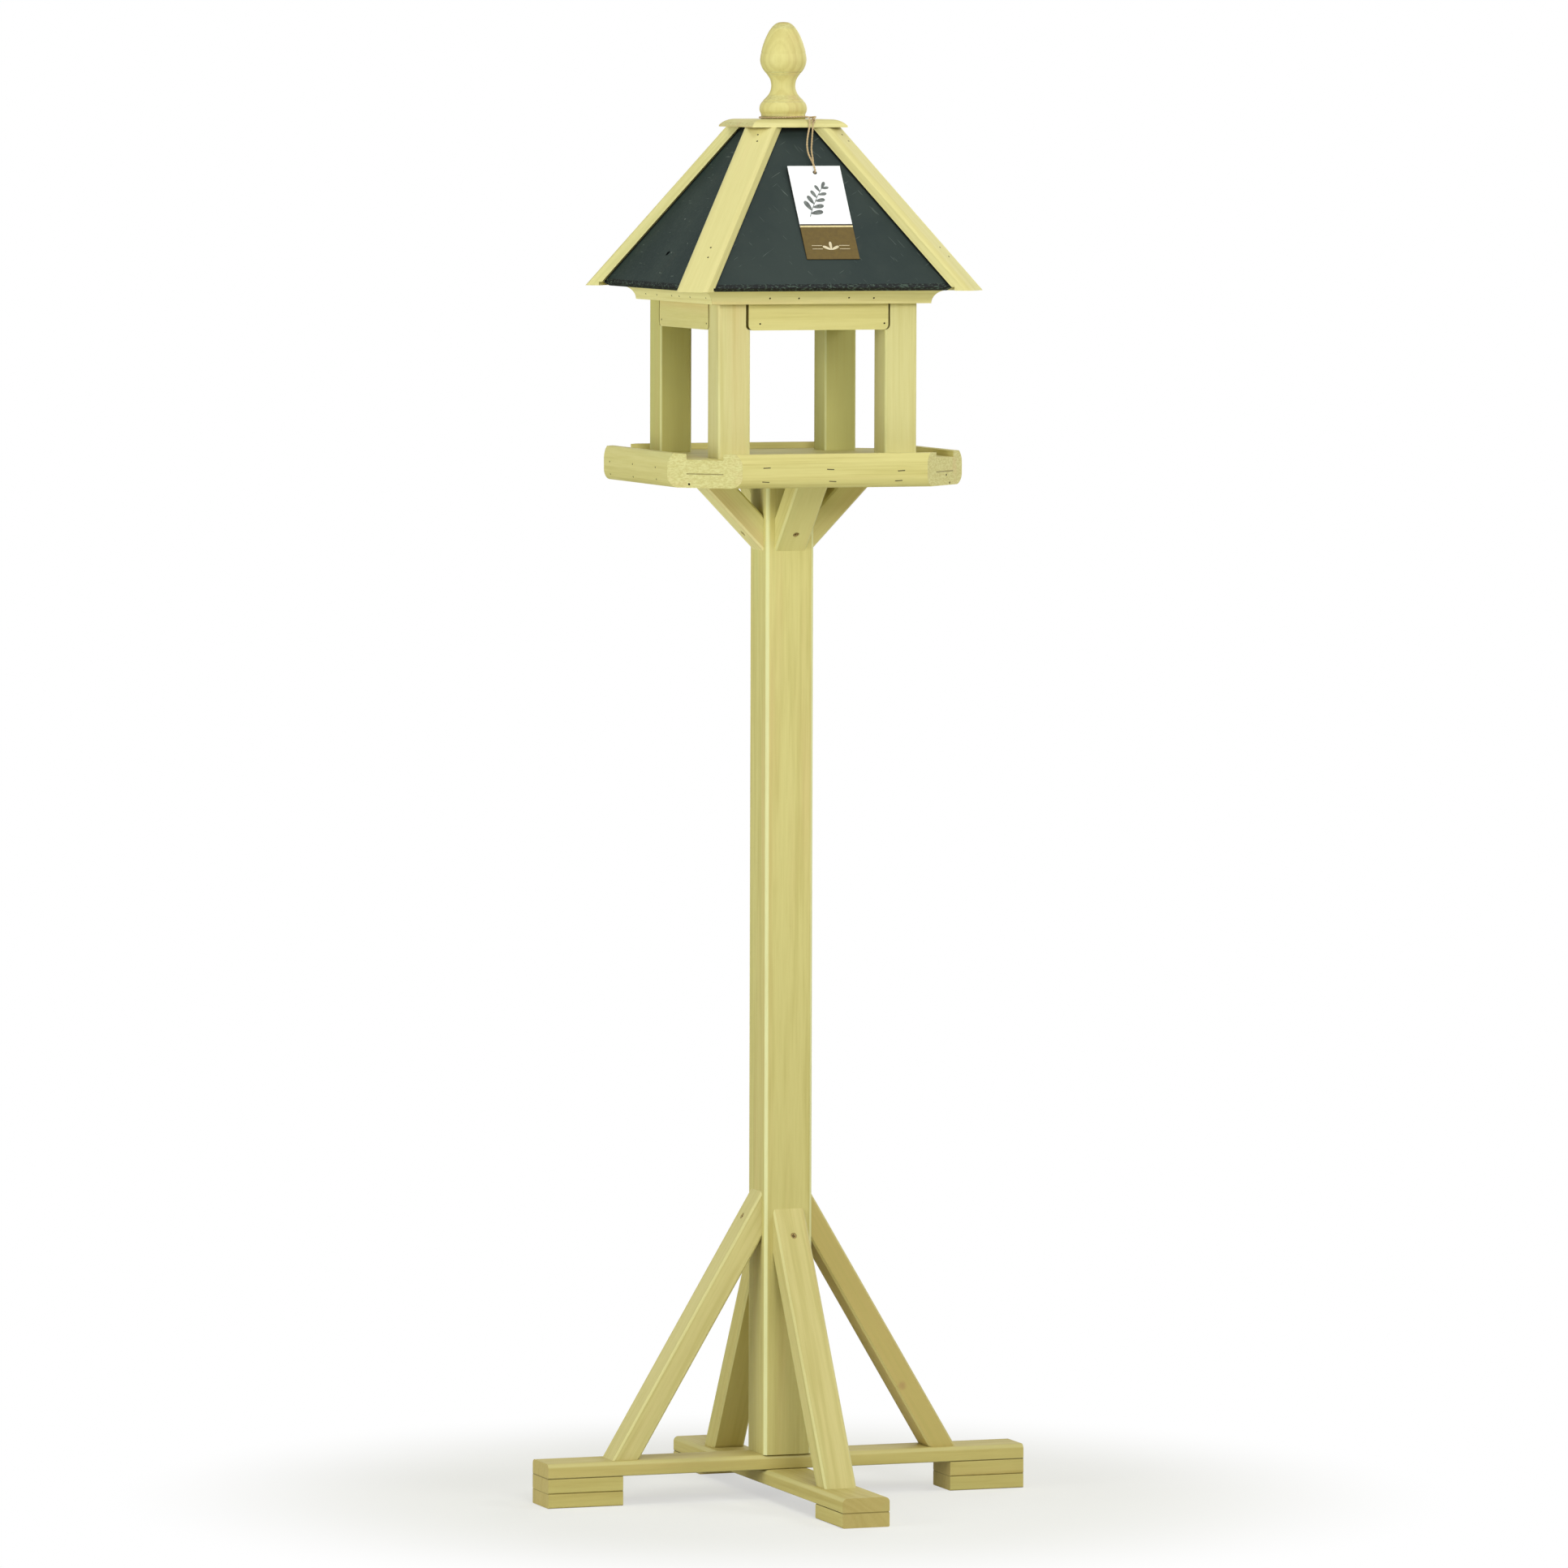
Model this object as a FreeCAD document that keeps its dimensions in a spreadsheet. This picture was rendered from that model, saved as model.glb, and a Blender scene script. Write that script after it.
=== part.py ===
import FreeCAD, Part
import math
import os
import re
import Sketcher

# A wooden bird table on a pole: crossed legs on foot blocks, a braced post, an octagonal tray with raised
# sides, four corner posts under a moulded cornice, and a hipped slate roof with a turned finial.
# Millimetres. +Z is up, the floor is z = 0, the post stands on the Z axis and the front faces -Y.

V = FreeCAD.Vector
doc = FreeCAD.newDocument("bird_table")

DIMS = {
    # legs and feet
    "board_thick": 15,
    "leg_length": 514,
    "leg_width": 50,
    "foot_length": 80,
    "leg_round": 5,
    "stock_ease": 1.5,
    # post and its braces
    "post_side": 51.5,
    "post_length": 990,
    "post_ease": 4.5,
    "brace_width": 34,
    "brace_thick": 24.5,
    "brace_bevel": 2,
    "lower_lean": 30.7,
    "lower_reach_across": 185.5,
    "lower_reach_along": 184,
    "upper_lean": 44,
    "upper_reach": 92.5,
    # tray
    "tray_size": 315,
    "tray_corner": 59,
    "deck_thick": 14,
    "side_thick": 15,
    "side_height": 34,
    "top_nose_deep": 5,
    "top_nose_high": 12,
    "low_nose_deep": 8,
    "low_nose_high": 11,
    # house
    "house_half": 106,
    "corner_side": 34,
    "corner_length": 155,
    "corner_ease": 2.5,
    "rail_high": 26.5,
    "rail_thick": 12,
    "rail_round": 5,
    "rail_gap": 2.5,
    "rail_slip": 0.5,
    "rebate": 5,
    # cornice
    "cornice_high": 17,
    "cornice_land": 11,
    "cornice_lip": 3.5,
    "cornice_soffit": 10,
    "cornice_inner": 72,
    # roof
    "roof_pitch": 55.42,
    "roof_rise": 159,
    "eave_drop": 3.55,
    "slate_thick": 6,
    "slate_set": 14,
    "slate_head": 0.5,
    "batten_width": 35.6,
    "batten_thick": 12,
    "batten_wide_round": 8,
    "batten_wide_fall": 4,
    "batten_slim_round": 5,
    "batten_slim_fall": 2.5,
    "rafter_width": 34,
    "rafter_deep": 20,
    "rafter_end": 9,
    "king_side": 34,
    "king_high": 60,
    "cap_side": 102,
    "cap_thick": 8,
    "cap_round": 13,
    "cap_fall": 6.5,
    # finial, radius and height above the cap
    "finial_high": 98,
    "disc_radius": 21.5,
    "disc_high": 4,
    "bead_curve": 9.4,
    "bead_top_radius": 19.6,
    "bead_top": 18.5,
    "ledge_radius": 18.2,
    "ledge": 19.5,
    "neck_curve": 16,
    "neck_top_radius": 16.2,
    "neck_top": 42.5,
    "belly_curve": 28,
    "belly_low_radius": 19.9,
    "belly_low": 46.5,
    "belly_top_radius": 20.5,
    "belly_top": 72.4,
    "shoulder_curve": 60,
    "dome_radius": 14.5,
    "dome": 91.4,
    "turned_line": 0.7,
    # fasteners
    "screw_radius": 1.8,
    "head_radius": 3.1,
    "head_deep": 2,
    "head_sink": 0.6,
    "screw_length": 40,
    "long_screw_length": 80,
    "foot_screw_length": 40,
    "short_screw_length": 26,
    "brace_screw_down": 26,
    "upper_screw_up": 17,
    "dowel_radius": 3,
    "dowel_length": 50,
    "dowel_in_finial": 22,
    "screw_pitch": 13,
    "foot_screw_out": 15,
    # hang tag
    "tag_width": 56,
    "tag_length": 110,
    "tag_thick": 0.8,
    "tag_aside": 7.5,
    "tag_foot": 38,
    "tag_lift": 3,
    "tag_hole": 2.3,
    "tag_hole_in": 7.7,
    # knot of the twine
    "knot_radius": 2.7,
    # clearances
    "hole_clear": 0.15,
    "joint_clear": 0.2,
    "seat_clear": 0.3,
    # how far stock and cutting outlines run past the cuts that they meet
    "stock_spare": 60,
    "trim_spare": 180,
    "bore_spare": 1.8,
}

WORKED = {
    "lower_leg_z": "board_thick",
    "upper_leg_z": "board_thick*2",
    "post_z": "board_thick*3",
    "tray_z": "post_z+post_length",
    "floor_z": "tray_z+deck_thick",
    "deck_z": "tray_z+deck_thick*2",
    "side_top": "tray_z+side_height",
    "head_z": "deck_z+corner_length",
    "rail_z": "head_z-rail_high",
    "eave_z": "head_z+cornice_high",
    "cap_z": "eave_z+roof_rise",
    "finial_z": "cap_z+cap_thick",
    # tray plan
    "tray_half": "tray_size/2",
    "tray_inner": "tray_half-side_thick",
    "tray_sum": "tray_size-tray_corner",
    "top_nose_curve": "(top_nose_deep^2+top_nose_high^2)/(2*top_nose_deep)",
    "low_nose_curve": "(low_nose_deep^2+low_nose_high^2)/(2*low_nose_deep)",
    # cornice, half sizes
    "cornice_cove": "cornice_high-cornice_lip",
    "cornice_foot": "house_half+cornice_land",
    "lip_half": "cornice_foot+cornice_cove+cornice_soffit",
    # roof planes: half sizes are taken at the level of the cornice top
    "hip_angle": "atan(tan(roof_pitch)/sqrt(2))",
    "fall_across": "sin(hip_angle)",
    "fall_cosine": "1/sqrt(1+fall_across^2)",
    "under_half": "lip_half+joint_clear/sin(roof_pitch)",
    "slate_half": "under_half+slate_thick/sin(roof_pitch)",
    "batten_seat": "batten_thick+seat_clear",
    "hip_half": "slate_half+(batten_seat-fall_across*slate_set)*fall_cosine/sin(roof_pitch)",
    "hip_middle": "hip_half*sqrt(2)-roof_rise/2/tan(hip_angle)",
    "hip_middle_z": "eave_z+roof_rise/2",
    "hip_stock": "roof_rise/sin(hip_angle)+stock_spare*2",
    "slate_in": "slate_set*sqrt(2)",
    # rafter section, measured square to the hip line
    "under_fall": "(slate_thick+joint_clear)/fall_cosine+batten_seat-fall_across*slate_set",
    "rafter_top": "batten_thick+joint_clear",
    "rafter_flat": "(rafter_top-under_fall)/fall_across",
    "rafter_out": "lip_half*sqrt(2)-rafter_end",
    # screw bores
    "bore_radius": "screw_radius+hole_clear",
    "sink_radius": "head_radius+hole_clear",
    "foot_middle": "leg_length/2-foot_length/2",
}


def make_sheet(name, cells):
    """A spreadsheet of named cells, one to a row."""
    made = doc.addObject("Spreadsheet::Sheet", name)
    for row, (alias, content) in enumerate(cells.items(), start=1):
        made.set(f"A{row}", alias)
        made.set(f"B{row}", str(content))
        made.setAlias(f"B{row}", alias)
    return made


def bound(text):
    """The expression with each named size pointed at the sheet that holds it."""
    def point(match):
        word = match.group()
        if word in DIMS:
            return "Dims." + word
        if word in WORKED:
            return "Worked." + word
        return word
    return re.sub(r"[a-z_]+", point, text)


dims = make_sheet("Dims", DIMS)
worked = make_sheet("Worked", {alias: "=" + bound(text) for alias, text in WORKED.items()})
doc.recompute()


def number(text):
    """The present value of an expression of named sizes."""
    found = dims.evalExpression(bound(text))
    return float(getattr(found, "Value", found))


def mirrored(text):
    """The same expression with its sign turned."""
    return f"-({text})"


ROUND = 1
HOLLOW = -1


def arc_between(start, end, radius, turn):
    """The short arc from start to end, anticlockwise for ROUND and clockwise for HOLLOW."""
    chord = end - start
    rise = math.sqrt(max(radius ** 2 - chord.Length ** 2 / 4, 0))
    side = V(-chord.y, chord.x, 0).normalize()
    centre = (start + end) / 2 + side * rise * turn
    first, last = (start, end) if turn == ROUND else (end, start)
    angles = [math.atan2(point.y - centre.y, point.x - centre.x) for point in (first, last)]
    if angles[1] < angles[0]:
        angles[1] += 2 * math.pi
    return Part.ArcOfCircle(Part.Circle(centre, V(0, 0, 1), radius), angles[0], angles[1])


def draw(sketch, outline):
    """Adds a closed outline. A corner is (x, y); (x, y, radius, turn) is reached by an arc."""
    first = sketch.GeometryCount
    spots = [V(number(corner[0]), number(corner[1]), 0) for corner in outline]
    ends = []
    for i, corner in enumerate(outline):
        start, end = spots[i - 1], spots[i]
        if len(corner) == 2:
            sketch.addGeometry(Part.LineSegment(start, end))
            ends.append((1, 2))
        else:
            sketch.addGeometry(arc_between(start, end, number(corner[2]), corner[3]))
            ends.append((1, 2) if corner[3] == ROUND else (2, 1))
    for i, corner in enumerate(outline):
        edge, after = first + i, first + (i + 1) % len(outline)
        joined = (edge, ends[i][1], after, ends[after - first][0])
        sketch.addConstraint(Sketcher.Constraint("Coincident", *joined))
        bindings = (("DistanceX", corner[0], spots[i].x), ("DistanceY", corner[1], spots[i].y))
        for kind, text, value in bindings:
            row = sketch.addConstraint(Sketcher.Constraint(kind, -1, 1, edge, ends[i][1], value))
            sketch.setExpression(f"Constraints[{row}]", bound(text))
        if len(corner) > 2:
            row = sketch.addConstraint(Sketcher.Constraint("Radius", edge, number(corner[2])))
            sketch.setExpression(f"Constraints[{row}]", bound(corner[2]))


def attach(body, plane):
    """An empty sketch on one of the body's own planes."""
    sketch = body.newObject("Sketcher::SketchObject", body.Label + "_outline")
    support = [item for item in body.Origin.OriginFeatures if item.Role == plane][0]
    sketch.AttachmentSupport = [(support, "")]
    sketch.MapMode = "FlatFace"
    return sketch


def outline_on(body, plane, outlines, lift="0"):
    """A sketch of closed outlines on one of the body's planes, moved along its normal by lift."""
    sketch = attach(body, plane)
    place = f"placement(vector(0; 0; {lift}); rotation(vector(0; 0; 1); 0))"
    sketch.setExpression("AttachmentOffset", bound(place))
    for outline in outlines:
        draw(sketch, outline)
    return sketch


def new_body(label, place=None):
    """A body, with its Placement as an expression where it isn't built in place."""
    body = doc.addObject("PartDesign::Body", label)
    body.Label = label
    if place:
        body.setExpression("Placement", bound(place))
    return body


def quarter(turn):
    """The placement of the piece on side 0 front, 1 right, 2 back or 3 left."""
    return f"placement(vector(0; 0; 0); rotation(vector(0; 0; 1); {90 * turn}))"


def pad(body, sketch, length, both=False, back=False):
    """Extrudes along the sketch's normal, half each way with both, or against it with back."""
    made = body.newObject("PartDesign::Pad", body.Label + "_pad")
    made.Profile = sketch
    made.setExpression("Length", bound(length))
    made.SideType = "Symmetric" if both else "One side"
    made.Reversed = back
    doc.recompute()
    return made


def pocket(body, sketch, depth=None, both=False, ahead=False):
    """Cuts against the sketch's normal, or along it with ahead; the whole way without a depth."""
    before = body.Shape.Volume
    made = body.newObject("PartDesign::Pocket", body.Label + "_pocket")
    made.Profile = sketch
    made.SideType = "Symmetric" if both else "One side"
    made.Type = "Length" if depth else "ThroughAll"
    if depth:
        made.setExpression("Length", bound(depth))
    made.Reversed = ahead
    doc.recompute()
    check_cut(body, before)
    return made


def check_cut(body, before):
    """Stops where a cut has taken nothing away."""
    if body.Shape.Volume > before - 0.01:
        raise RuntimeError(f"{body.Label}: a cut takes nothing away")


def straight_edges(shape, way):
    """Names of the straight edges that run along the direction way."""
    names = []
    for i, edge in enumerate(shape.Edges, start=1):
        if edge.Curve.TypeId != "Part::GeomLine":
            continue
        if abs(abs(edge.tangentAt(edge.FirstParameter).dot(way)) - 1) < 1e-6:
            names.append(f"Edge{i}")
    return names


def ease(body, kind, way, size):
    """Fillets or chamfers the body's straight edges along way."""
    base = body.Tip
    made = body.newObject("PartDesign::" + kind, body.Label + "_eased")
    made.Base = (base, straight_edges(base.Shape, way))
    made.setExpression("Radius" if kind == "Fillet" else "Size", bound(size))
    doc.recompute()
    return made


def rectangle(left, right, low, high):
    """Four corners, anticlockwise."""
    return [(left, low), (right, low), (right, high), (left, high)]


def turned(body, outline, spot=("0", "0", "0"), lean="0", cut=False, along=False):
    """Turns an outline of (radius, height) about an axis through spot, leaning in the XZ plane.

    With along, spot and lean are given in the same way for the +Y side, in the YZ plane."""
    before = body.Shape.Volume if cut else 0
    sketch = attach(body, "YZ_Plane" if along else "XZ_Plane")
    aside = spot[1] if along else mirrored(spot[1])
    place = f"placement(vector({spot[0]}; {spot[2]}; {aside}); rotation(vector(0; 0; 1); {lean}))"
    sketch.setExpression("AttachmentOffset", bound(place))
    draw(sketch, outline)
    kind = "Groove" if cut else "Revolution"
    made = body.newObject("PartDesign::" + kind, body.Label + ("_bore" if cut else "_turned"))
    made.Profile = sketch
    made.ReferenceAxis = (sketch, ["V_Axis"])
    made.Angle = 360
    doc.recompute()
    if cut:
        check_cut(body, before)
    return made


def ring(body, features, count):
    """Repeats features evenly about the upright axis."""
    made = body.newObject("PartDesign::PolarPattern", body.Label + "_ring")
    made.Originals = features
    axis = [item for item in body.Origin.OriginFeatures if item.Role == "Z_Axis"][0]
    made.Axis = (axis, [""])
    made.Angle = 360
    made.Occurrences = count
    body.Tip = made
    doc.recompute()
    return made


# ---------------------------------------------------------------- fasteners

def screw_outline(length):
    """A countersunk screw with its head up: (radius, height), the head's face at 0."""
    tip = f"-({length})+screw_radius*2"
    return [("0", f"-({length})"), ("screw_radius", tip), ("screw_radius", "-head_deep"),
            ("head_radius", "0"), ("0", "0")]


def bore_outline(length):
    """The countersunk bore that takes the screw, open above its head."""
    low = f"-({length}+hole_clear)"
    return [("0", low), ("bore_radius", low), ("bore_radius", "-head_deep"), ("sink_radius", "0"),
            ("sink_radius", "bore_spare"), ("0", "bore_spare")]


def add_screws(label, length, groups):
    """One node of identical screws. A group is (spots, lean, count about the post, along or not)."""
    body = new_body(label)
    for spots, lean, count, along in groups:
        screws = [turned(body, screw_outline(length), spot, lean, along=along) for spot in spots]
        ring(body, screws, count)


def add_bores(body, length, spots, lean, count, along=False):
    """The bores of the same screws in one piece."""
    bores = [turned(body, bore_outline(length), spot, lean, cut=True, along=along) for spot in spots]
    if count > 1:
        ring(body, bores, count)


# A brace's screw goes in square to its outer face, on the brace's centre line.
def brace_spot(reach, foot_z, lean, down):
    """The screw head's place on a lower brace whose outer face meets the post at the top."""
    meet = f"{foot_z}+({reach}-post_side/2)/tan({lean})"
    return (f"post_side/2+{down}*tan({lean})-head_sink*cos({lean})", "0",
            f"{meet}-{down}-head_sink*sin({lean})")


LOWER_SPOTS = [brace_spot("lower_reach_across", "post_z", "lower_lean", "brace_screw_down")]
LOWER_SPOTS_ALONG = [brace_spot("lower_reach_along", "upper_leg_z", "lower_lean", "brace_screw_down")]
LOWER_SCREW_LEAN = "lower_lean-90"
UPPER_SPOTS = [("post_side/2+upper_screw_up*tan(upper_lean)-head_sink*cos(upper_lean)", "0",
                "tray_z-(upper_reach-post_side/2)/tan(upper_lean)+upper_screw_up+head_sink*sin(upper_lean)")]
UPPER_SCREW_LEAN = "-(90+upper_lean)"
POST_FOOT_SPOTS = [("screw_pitch", "screw_pitch", "lower_leg_z+head_sink")]
POST_HEAD_SPOTS = [("screw_pitch", "screw_pitch", "deck_z-head_sink")]
CORNER_SPOTS = [("house_half-corner_side/2", "house_half-corner_side/2", "tray_z+head_sink")]
FOOT_PLACES = ("foot_middle-foot_screw_out", "foot_middle+foot_screw_out")
FOOT_SCREWS = {
    True: ("foot_screw_length", [(place, "0", "head_sink") for place in FOOT_PLACES]),
    False: ("short_screw_length", [("0", place, "head_sink") for place in FOOT_PLACES]),
}
HEAD_UP = "0"
HEAD_DOWN = "180"


# ---------------------------------------------------------------- legs and feet

def add_leg(label, low, across):
    """A flat leg through the middle, along X when across, its upper edges well rounded."""
    body = new_body(label)
    half = "leg_width/2"
    plane = "YZ_Plane" if across else "XZ_Plane"
    high = f"{low}+board_thick"
    section = [
        (f"stock_ease-{half}", low, "stock_ease", ROUND),
        (f"{half}-stock_ease", low),
        (half, f"{low}+stock_ease", "stock_ease", ROUND),
        (half, f"{high}-leg_round"),
        (f"{half}-leg_round", high, "leg_round", ROUND),
        (f"leg_round-{half}", high),
        (mirrored(half), f"{high}-leg_round", "leg_round", ROUND),
        (mirrored(half), f"{low}+stock_ease"),
    ]
    pad(body, outline_on(body, plane, [section]), "leg_length", both=True)
    add_bores(body, "long_screw_length", POST_FOOT_SPOTS, HEAD_DOWN, 2)
    length, spots = FOOT_SCREWS[across]
    add_bores(body, length, spots, HEAD_DOWN, 2)


def add_foot(label, low, across, side):
    """A foot block under one end of a leg."""
    body = new_body(label)
    inner, outer = "leg_length/2-foot_length", "leg_length/2"
    near, far = (inner, outer) if side > 0 else (mirrored(outer), mirrored(inner))
    half = "leg_width/2"
    spread = (mirrored(half), half)
    plan = rectangle(near, far, *spread) if across else rectangle(*spread, near, far)
    pad(body, outline_on(body, "XY_Plane", [plan], low), "board_thick")
    ease(body, "Fillet", V(1, 0, 0) if across else V(0, 1, 0), "stock_ease")
    length, spots = FOOT_SCREWS[across]
    signed = [(x if side > 0 else mirrored(x), y if side > 0 else mirrored(y), z) for x, y, z in spots]
    add_bores(body, length, signed, HEAD_DOWN, 1)


add_leg("lower_leg", "lower_leg_z", across=False)
add_leg("upper_leg", "upper_leg_z", across=True)
for name, side in (("left", -1), ("right", 1)):
    add_foot(f"foot_block_{name}_low", "0", True, side)
    add_foot(f"foot_block_{name}_high", "board_thick", True, side)
for name, side in (("front", -1), ("back", 1)):
    add_foot(f"foot_block_{name}", "0", False, side)


# ---------------------------------------------------------------- post and braces

def add_post():
    """The main post, bored for its own and its braces' screws."""
    body = new_body("main_post")
    half = "post_side/2"
    plan = rectangle(mirrored(half), half, mirrored(half), half)
    pad(body, outline_on(body, "XY_Plane", [plan], "post_z"), "post_length")
    ease(body, "Fillet", V(0, 0, 1), "post_ease")
    add_bores(body, "screw_length", UPPER_SPOTS, UPPER_SCREW_LEAN, 4)
    add_bores(body, "screw_length", LOWER_SPOTS, LOWER_SCREW_LEAN, 2)
    add_bores(body, "screw_length", LOWER_SPOTS_ALONG, LOWER_SCREW_LEAN, 2, along=True)
    add_bores(body, "long_screw_length", POST_FOOT_SPOTS, HEAD_DOWN, 2)
    add_bores(body, "long_screw_length", POST_HEAD_SPOTS, HEAD_UP, 2)


def add_lower_brace(name, side, reach, foot_z, spots):
    """A brace from a leg up to the post, modelled on the +X side."""
    body = new_body(f"lower_brace_{name}", quarter(side - 1))
    face = "post_side/2"
    meet = f"{foot_z}+({reach}-{face})/tan(lower_lean)"
    profile = [
        (f"{reach}-brace_thick/cos(lower_lean)", foot_z),
        (reach, foot_z),
        (face, meet),
        (face, f"{meet}-brace_thick/sin(lower_lean)"),
    ]
    pad(body, outline_on(body, "XZ_Plane", [profile]), "brace_width", both=True)
    lean = math.radians(number("lower_lean"))
    ease(body, "Chamfer", V(math.sin(lean), 0, -math.cos(lean)), "brace_bevel")
    add_bores(body, "screw_length", spots, LOWER_SCREW_LEAN, 1)


def add_upper_brace(name, side):
    """A brace from the post up to the tray, modelled on the +X side."""
    body = new_body(f"upper_brace_{name}", quarter(side - 1))
    face = "post_side/2"
    meet = f"tray_z-(upper_reach-{face})/tan(upper_lean)"
    profile = [
        (face, meet),
        ("upper_reach", "tray_z"),
        ("upper_reach-brace_thick/cos(upper_lean)", "tray_z"),
        (face, f"{meet}+brace_thick/sin(upper_lean)"),
    ]
    pad(body, outline_on(body, "XZ_Plane", [profile]), "brace_width", both=True)
    lean = math.radians(number("upper_lean"))
    ease(body, "Chamfer", V(math.sin(lean), 0, math.cos(lean)), "brace_bevel")
    add_bores(body, "screw_length", UPPER_SPOTS, UPPER_SCREW_LEAN, 1)


add_post()
SIDES = ("front", "right", "back", "left")
for side, name in enumerate(SIDES):
    add_upper_brace(name, side)
    if name in ("left", "right"):
        add_lower_brace(name, side, "lower_reach_across", "post_z", LOWER_SPOTS)
    else:
        add_lower_brace(name, side, "lower_reach_along", "upper_leg_z", LOWER_SPOTS_ALONG)


# ---------------------------------------------------------------- tray

def add_deck(label, low):
    """A square board with its corners sawn off, between the tray's sides."""
    body = new_body(label)
    far, near = "tray_inner", "(tray_sum-tray_inner)"
    signs = ((1, 1), (-1, 1), (-1, -1), (1, -1))
    plan = []
    for i, (sx, sy) in enumerate(signs):
        pair = [(far, near), (near, far)] if i % 2 == 0 else [(near, far), (far, near)]
        for x, y in pair:
            plan.append((x if sx > 0 else mirrored(x), y if sy > 0 else mirrored(y)))
    pad(body, outline_on(body, "XY_Plane", [plan], low), "deck_thick")
    add_bores(body, "long_screw_length", CORNER_SPOTS, HEAD_DOWN, 4)
    add_bores(body, "long_screw_length", POST_HEAD_SPOTS, HEAD_UP, 2)


def cut_ends(body, near, far, middle, grow):
    """Trims both ends of a front piece in plan, where |x| passes middle + grow * |y|."""
    ends = []
    for turn in (1, -1):
        corners = [
            (f"{middle}+({grow})*({near})", mirrored(near)),
            (f"{middle}+({grow})*({far})", mirrored(far)),
            ("tray_size", mirrored(far)),
            ("tray_size", mirrored(near)),
        ]
        ends.append([(x if turn > 0 else mirrored(x), y) for x, y in corners])
    pocket(body, outline_on(body, "XY_Plane", ends), ahead=True)


def add_tray_side(name, side):
    """A moulded board along one side of the tray, its ends in the line of the sawn corners."""
    body = new_body(f"tray_side_{name}", quarter(side))
    profile = [
        ("low_nose_deep-tray_half", "tray_z", "low_nose_curve", ROUND),
        ("-tray_inner", "tray_z"),
        ("-tray_inner", "side_top"),
        ("top_nose_deep-tray_half", "side_top"),
        ("-tray_half", "side_top-top_nose_high", "top_nose_curve", ROUND),
        ("-tray_half", "tray_z+low_nose_high"),
    ]
    pad(body, outline_on(body, "YZ_Plane", [profile]), "tray_size", both=True)
    cut_ends(body, "tray_inner-side_thick", "tray_half+side_thick", "tray_sum", "-1")


add_deck("tray_sub_base", "tray_z")
add_deck("tray_floor", "floor_z")


# ---------------------------------------------------------------- house

def add_corner_post(name, side):
    """A corner post, modelled at the front left, rebated at its head for the two header rails."""
    body = new_body(f"corner_post_{name}", quarter(side))
    outer, inner = "-house_half", "corner_side-house_half"
    plan = rectangle(outer, inner, outer, inner)
    pad(body, outline_on(body, "XY_Plane", [plan], "deck_z"), "corner_length")
    ease(body, "Fillet", V(0, 0, 1), "corner_ease")
    notch = [
        (inner, "head_z+corner_ease"),
        (f"{inner}-rebate", "head_z+corner_ease"),
        (f"{inner}-rebate", "rail_z+rebate"),
        (inner, "rail_z", "rebate", ROUND),
        (f"{inner}+corner_ease", "rail_z"),
        (f"{inner}+corner_ease", "head_z+corner_ease"),
    ]
    pocket(body, outline_on(body, "XZ_Plane", [notch], "house_half"), "rail_thick")
    pocket(body, outline_on(body, "YZ_Plane", [notch], "-house_half"), "rail_thick", ahead=True)
    corner = [(mirrored(x), mirrored(y), z) for x, y, z in CORNER_SPOTS]
    add_bores(body, "long_screw_length", corner, HEAD_DOWN, 1)


def add_header_rail(name, side):
    """A rail let into the heads of two corner posts, slipped a little to one end as fitted by hand."""
    slip = "rail_slip" if side % 2 == 0 else "-rail_slip"
    moved = f"placement(vector({slip}; 0; 0); rotation(vector(0; 0; 1); 0))"
    body = new_body(f"header_rail_{name}", f"{quarter(side)}*{moved}")
    half = "(house_half-corner_side+rebate-rail_gap)"
    profile = [
        (f"-{half}+rail_round", "rail_z", "rail_round", ROUND),
        (f"{half}-rail_round", "rail_z"),
        (half, "rail_z+rail_round", "rail_round", ROUND),
        (half, "head_z"),
        (f"-{half}", "head_z"),
        (f"-{half}", "rail_z+rail_round"),
    ]
    pad(body, outline_on(body, "XZ_Plane", [profile], "house_half"), "rail_thick", back=True)


def add_cornice(name, side):
    """A coved moulding, mitred at its ends."""
    body = new_body(f"cornice_{name}", quarter(side))
    profile = [
        ("-cornice_foot", "head_z", "cornice_cove", HOLLOW),
        ("-cornice_inner", "head_z"),
        ("-cornice_inner", "eave_z"),
        ("-lip_half", "eave_z"),
        ("-lip_half", "eave_z-cornice_lip"),
        ("-cornice_foot-cornice_cove", "eave_z-cornice_lip"),
    ]
    pad(body, outline_on(body, "YZ_Plane", [profile]), "lip_half*2", both=True)
    cut_ends(body, "cornice_inner-cornice_high", "lip_half+cornice_high", "-joint_clear/2", "1")


CORNERS = ("front_left", "front_right", "back_right", "back_left")


# ---------------------------------------------------------------- roof

def add_slate(name, side):
    """A slate slab with a square-cut foot, its sides cut parallel to the hips."""
    body = new_body(f"roof_slate_{name}", quarter(side))
    foot = "(under_half+eave_drop/tan(roof_pitch))"
    head_z = "cap_z-slate_head"
    drawn_in = "(roof_rise-slate_head)/tan(roof_pitch)"
    profile = [
        (f"-{foot}", "eave_z-eave_drop"),
        (f"{drawn_in}-under_half", head_z),
        (f"{drawn_in}-slate_half", head_z),
        (f"-{foot}-slate_thick*sin(roof_pitch)", "eave_z-eave_drop+slate_thick*cos(roof_pitch)"),
    ]
    pad(body, outline_on(body, "YZ_Plane", [profile]), "slate_half*2", both=True)
    cut_ends(body, "slate_in+slate_thick", "slate_half+slate_in", "-slate_in", "1")


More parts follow.
